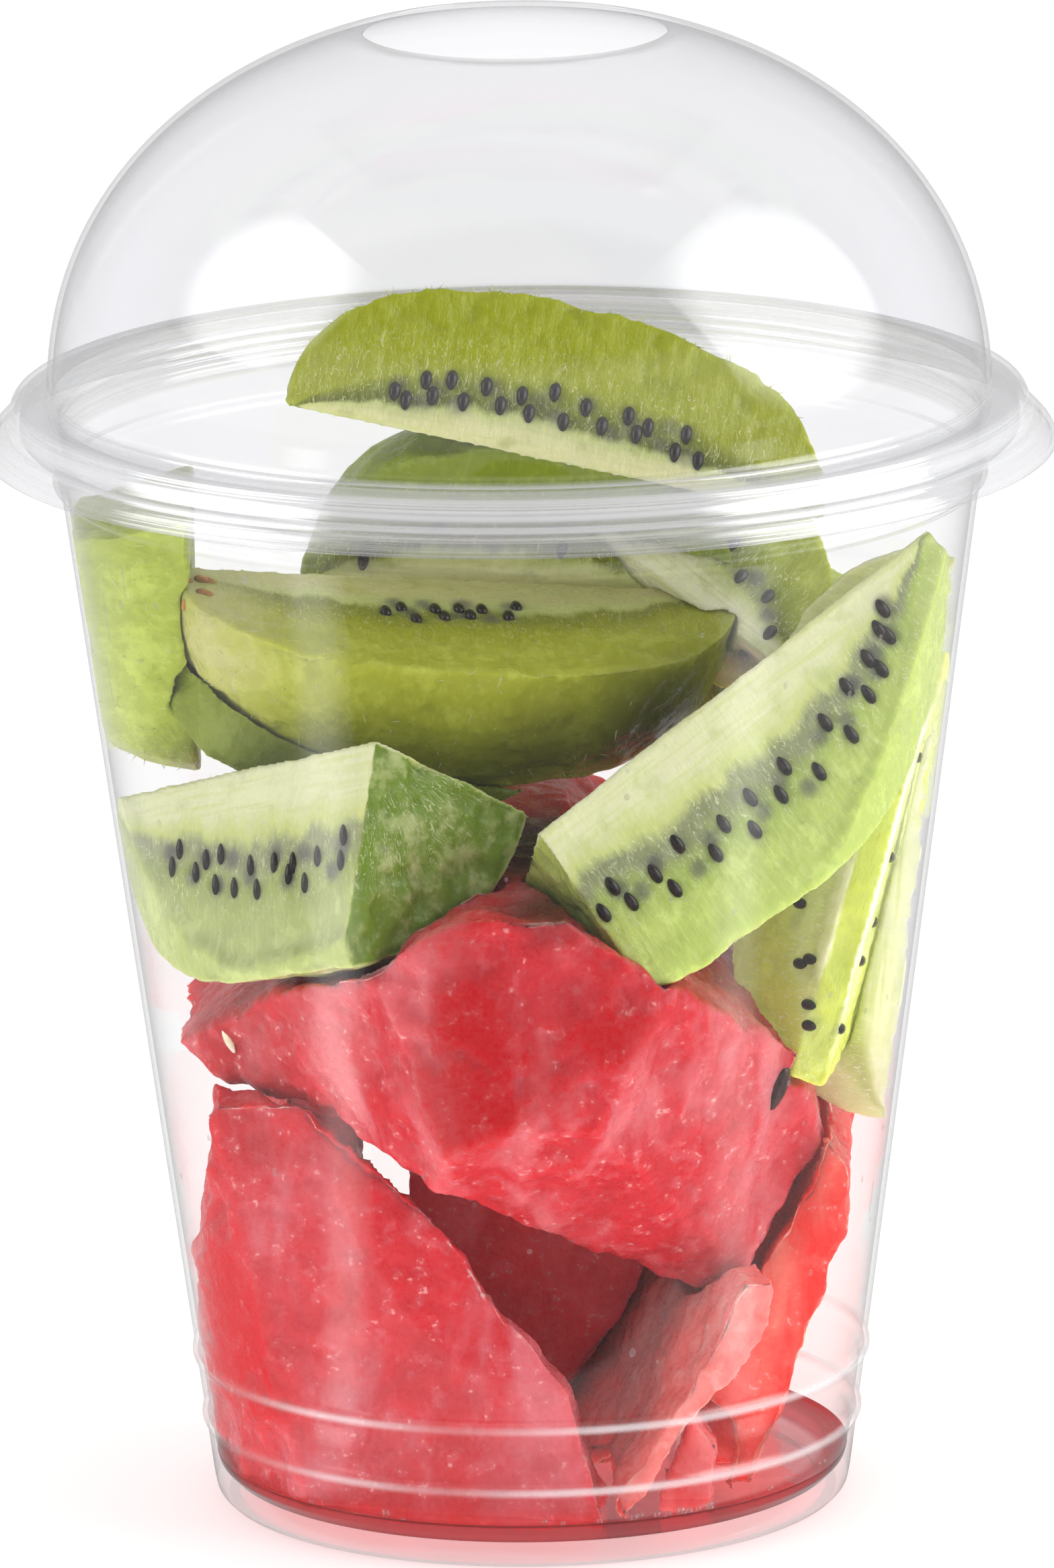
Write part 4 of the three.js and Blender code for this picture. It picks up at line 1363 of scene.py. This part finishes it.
class FRUITCUP_OT_stage(bpy.types.Operator):
    """Make the pale floor, the soft studio lights and the camera"""
    bl_idname = "fruitcup.stage"
    bl_label = "Stage"

    def execute(self, context):
        look = context.scene.fruitcup_stage
        self.floor(look)
        half, near, far = FLAG["half"], FLAG["from"], FLAG["to"]
        corners = [(x, y, FLAG["height"]) for x, y in (
            (-half, far), (half, far), (half, near), (-half, near))]
        self.card("dark card", corners, FLAG["shade"] * look.power)
        for turn in STRIPS["turns"]:
            corners = []
            for reach, side in ((STRIPS["near"], -1), (STRIPS["far"], -1), (STRIPS["far"], 1),
                                (STRIPS["near"], 1)):
                angle = math.radians(turn + side * STRIPS["half"])
                corners.append((math.sin(angle) * reach, -math.cos(angle) * reach,
                                STRIPS["height"]))
            self.card("pale strip", corners, STRIPS["shade"] * look.power,
                      lambda s, full: self.strip_sides(s, full, turn, look.power))
        self.lights(look)
        self.world(look)
        self.camera(context.scene)
        context.scene.view_settings.view_transform = "Standard"
        cycles = context.scene.cycles
        cycles.transparent_max_bounces = CLEAR_LAYERS
        cycles.diffuse_bounces = cycles.glossy_bounces = TURNS_OF_LIGHT
        return {"FINISHED"}

    def floor(self, look):
        s = Shader("floor")
        shade = s.mix(s.noise(s.place(), FLOOR_CLOUDS["scale"]), tuple(look.floor),
                      tuple(FLOOR_CLOUDS["darker"] * c for c in look.floor))
        path = s.add("ShaderNodeLightPath").outputs
        glow = s.between(path["Is Diffuse Ray"], 0, 1, FLOOR_GLOW["seen"] * look.power,
                         FLOOR_GLOW["cast"] * look.power)
        lit = s.shell(shade, 0.7, {"Specular IOR Level": 0.2, "Emission Color": shade,
                                   "Emission Strength": glow})
        way = s.parts(s.place())
        behind = s.maths("DIVIDE", way["Y"], s.maths("ABSOLUTE", way["X"]))
        mirrored = s.between(behind, *BEHIND, FLOOR_GLOW["beside"] * look.power,
                             FLOOR_GLOW["behind"] * look.power)
        dim = s.add("ShaderNodeEmission", {"Color": WHITE, "Strength": mirrored}).outputs[0]
        s.output(s.blend(path["Is Glossy Ray"], lit, dim))
        bm = bmesh.new()
        bmesh.ops.create_grid(bm, x_segments=2, y_segments=2, size=FLOOR_HALF)
        self.staged("floor", mesh_of(bm, "floor"), s.material)

    def strip_sides(self, s, full, turn, power):
        """The light of a strip, which fades to its long sides."""
        way = s.parts(s.place())
        angle = s.maths("ARCTAN2", way["X"], s.times(way["Y"], -1))
        off = s.maths("ABSOLUTE", s.maths("SUBTRACT", angle, math.radians(turn)))
        half = math.radians(STRIPS["half"])
        return s.between(off, STRIPS["even"] * half, half, full, FLOOR_GLOW["beside"] * power)

    def soft_corners(self, s, full, corners, power):
        """The light of a softbox, which fades to its corners."""
        middle = sum((Vector(c) for c in corners), Vector()) / len(corners)
        reach = (Vector(corners[0]) - middle).length * MM
        away = s.add("ShaderNodeVectorMath", {0: s.place(), 1: middle * MM},
                     operation="DISTANCE").outputs["Value"]
        even, edge = (share * reach for share in FADE["reach"])
        return s.between(away, even, edge, full, FADE["least"] * power)

    def card(self, name, corners, strength, faded=None):
        """A card that only reflections see. Its light may fade over it."""
        s = Shader(name)
        s.output(s.add("ShaderNodeEmission", {
            "Color": WHITE, "Strength": faded(s, strength) if faded else strength}).outputs[0])
        bm = bmesh.new()
        bm.faces.new([bm.verts.new(corner) for corner in corners])
        made = self.staged(name, mesh_of(bm, name), s.material)
        for ray in ("camera", "diffuse", "transmission", "volume_scatter", "shadow"):
            setattr(made, "visible_" + ray, False)

    def staged(self, name, mesh, material):
        mesh.transform(Matrix.Scale(MM, 4))
        mesh.materials.append(material)
        made = bpy.data.objects.new(name, mesh)
        bpy.context.scene.collection.objects.link(made)
        return made

    def lights(self, look):
        for spec in SOFTBOXES:
            lamp = bpy.data.lights.new(spec["name"], "AREA")
            lamp.shape = "RECTANGLE"
            lamp.size, lamp.size_y = (MM * s for s in spec["size"])
            lamp.energy = (spec["brightness"] * look.power * math.pi
                           * lamp.size * lamp.size_y)
            made = bpy.data.objects.new(spec["name"], lamp)
            turn, rise = math.radians(spec["turn"]), math.radians(spec["rise"])
            back = Vector((math.sin(turn) * math.cos(rise), -math.cos(turn) * math.cos(rise),
                           math.sin(rise)))
            middle, facing = Vector(AIM) + back * spec["distance"], back.to_track_quat("Z", "Y")
            made.location = middle * MM
            made.rotation_euler = facing.to_euler()
            made.visible_camera = made.visible_glossy = made.visible_transmission = False
            bpy.context.scene.collection.objects.link(made)
            wide, high = (s / 2 for s in spec["size"])
            corners = [middle + facing @ Vector((x * wide, y * high, 0))
                       for x, y in ((-1, -1), (-1, 1), (1, 1), (1, -1))]
            self.card(spec["name"] + " front", corners, spec["mirrored"] * look.power,
                      lambda s, full: self.soft_corners(s, full, corners, look.power))

    def world(self, look):
        """An even pale sky, with a dark ceiling in front that only reflections see."""
        world = bpy.data.worlds.new("studio")
        world.use_nodes = True
        s = Shader("sky", world.node_tree)
        way = s.parts(s.add("ShaderNodeTexCoord").outputs["Generated"])
        ahead = s.times(way["Y"], -1)
        dark = s.times(s.between(way["Z"], *DARK_RISE), s.between(ahead, *DARK_FRONT))
        mirrored = s.between(dark, 0, 1, SKY["mirrored"], SKY["dark"])
        glossy = s.add("ShaderNodeLightPath").outputs["Is Glossy Ray"]
        seen = s.add("ShaderNodeMapRange", {0: glossy, 3: SKY["light"], 4: mirrored})
        strength = s.times(seen.outputs[0], look.power)
        sky = s.add("ShaderNodeBackground", {"Color": WHITE, "Strength": strength})
        s.add("ShaderNodeOutputWorld", {"Surface": sky.outputs[0]})
        bpy.context.scene.world = world

    def camera(self, scene):
        data = bpy.data.cameras.new("camera")
        data.sensor_width, data.lens = CAMERA["sensor"], CAMERA["lens"]
        data.clip_start, data.clip_end = CAMERA["clip"]
        rise = math.radians(CAMERA["elevation"])
        back = Vector((0, -math.cos(rise), math.sin(rise)))
        made = bpy.data.objects.new("camera", data)
        made.location = (Vector(CAMERA["target"]) + back * CAMERA["distance"]) * MM
        facing = (-back).to_track_quat("-Z", "Y")
        roll = Quaternion(back, math.radians(CAMERA["roll"]))
        made.rotation_euler = (roll @ facing).to_euler()
        scene.collection.objects.link(made)
        scene.camera = made


class FRUITCUP_PT_panel(bpy.types.Panel):
    """Lists the steps that make the fruit cup"""
    bl_idname = "FRUITCUP_PT_panel"
    bl_label = "Fruit cup"
    bl_space_type = "VIEW_3D"
    bl_region_type = "UI"
    bl_category = "Fruit cup"

    def draw(self, context):
        for group in GROUPS:
            box = self.layout.box()
            looks = getattr(context.scene, group)
            for name in looks.bl_rna.properties.keys():
                if name not in ("rna_type", "name"):
                    box.prop(looks, name)
        for step in STEPS:
            self.layout.operator(step.bl_idname)


STEPS = (FRUITCUP_OT_stage, FRUITCUP_OT_cup, FRUITCUP_OT_lid, FRUITCUP_OT_kiwis,
         FRUITCUP_OT_melons, FRUITCUP_OT_juice)
GROUPS = {
    "fruitcup_plastic": PlasticLook,
    "fruitcup_kiwi": KiwiLook,
    "fruitcup_melon": MelonLook,
    "fruitcup_juice": JuiceLook,
    "fruitcup_stage": StageLook,
}


def register():
    for group in (*GROUPS.values(), *STEPS, FRUITCUP_PT_panel):
        bpy.utils.register_class(group)
    for name, group in GROUPS.items():
        setattr(bpy.types.Scene, name, bpy.props.PointerProperty(type=group))


def unregister():
    for name in GROUPS:
        delattr(bpy.types.Scene, name)
    for group in (FRUITCUP_PT_panel, *reversed(STEPS), *reversed(GROUPS.values())):
        bpy.utils.unregister_class(group)


def main():
    register()
    for step in STEPS:
        family, name = step.bl_idname.split(".")
        getattr(getattr(bpy.ops, family), name)()


if __name__ == "__main__":
    main()
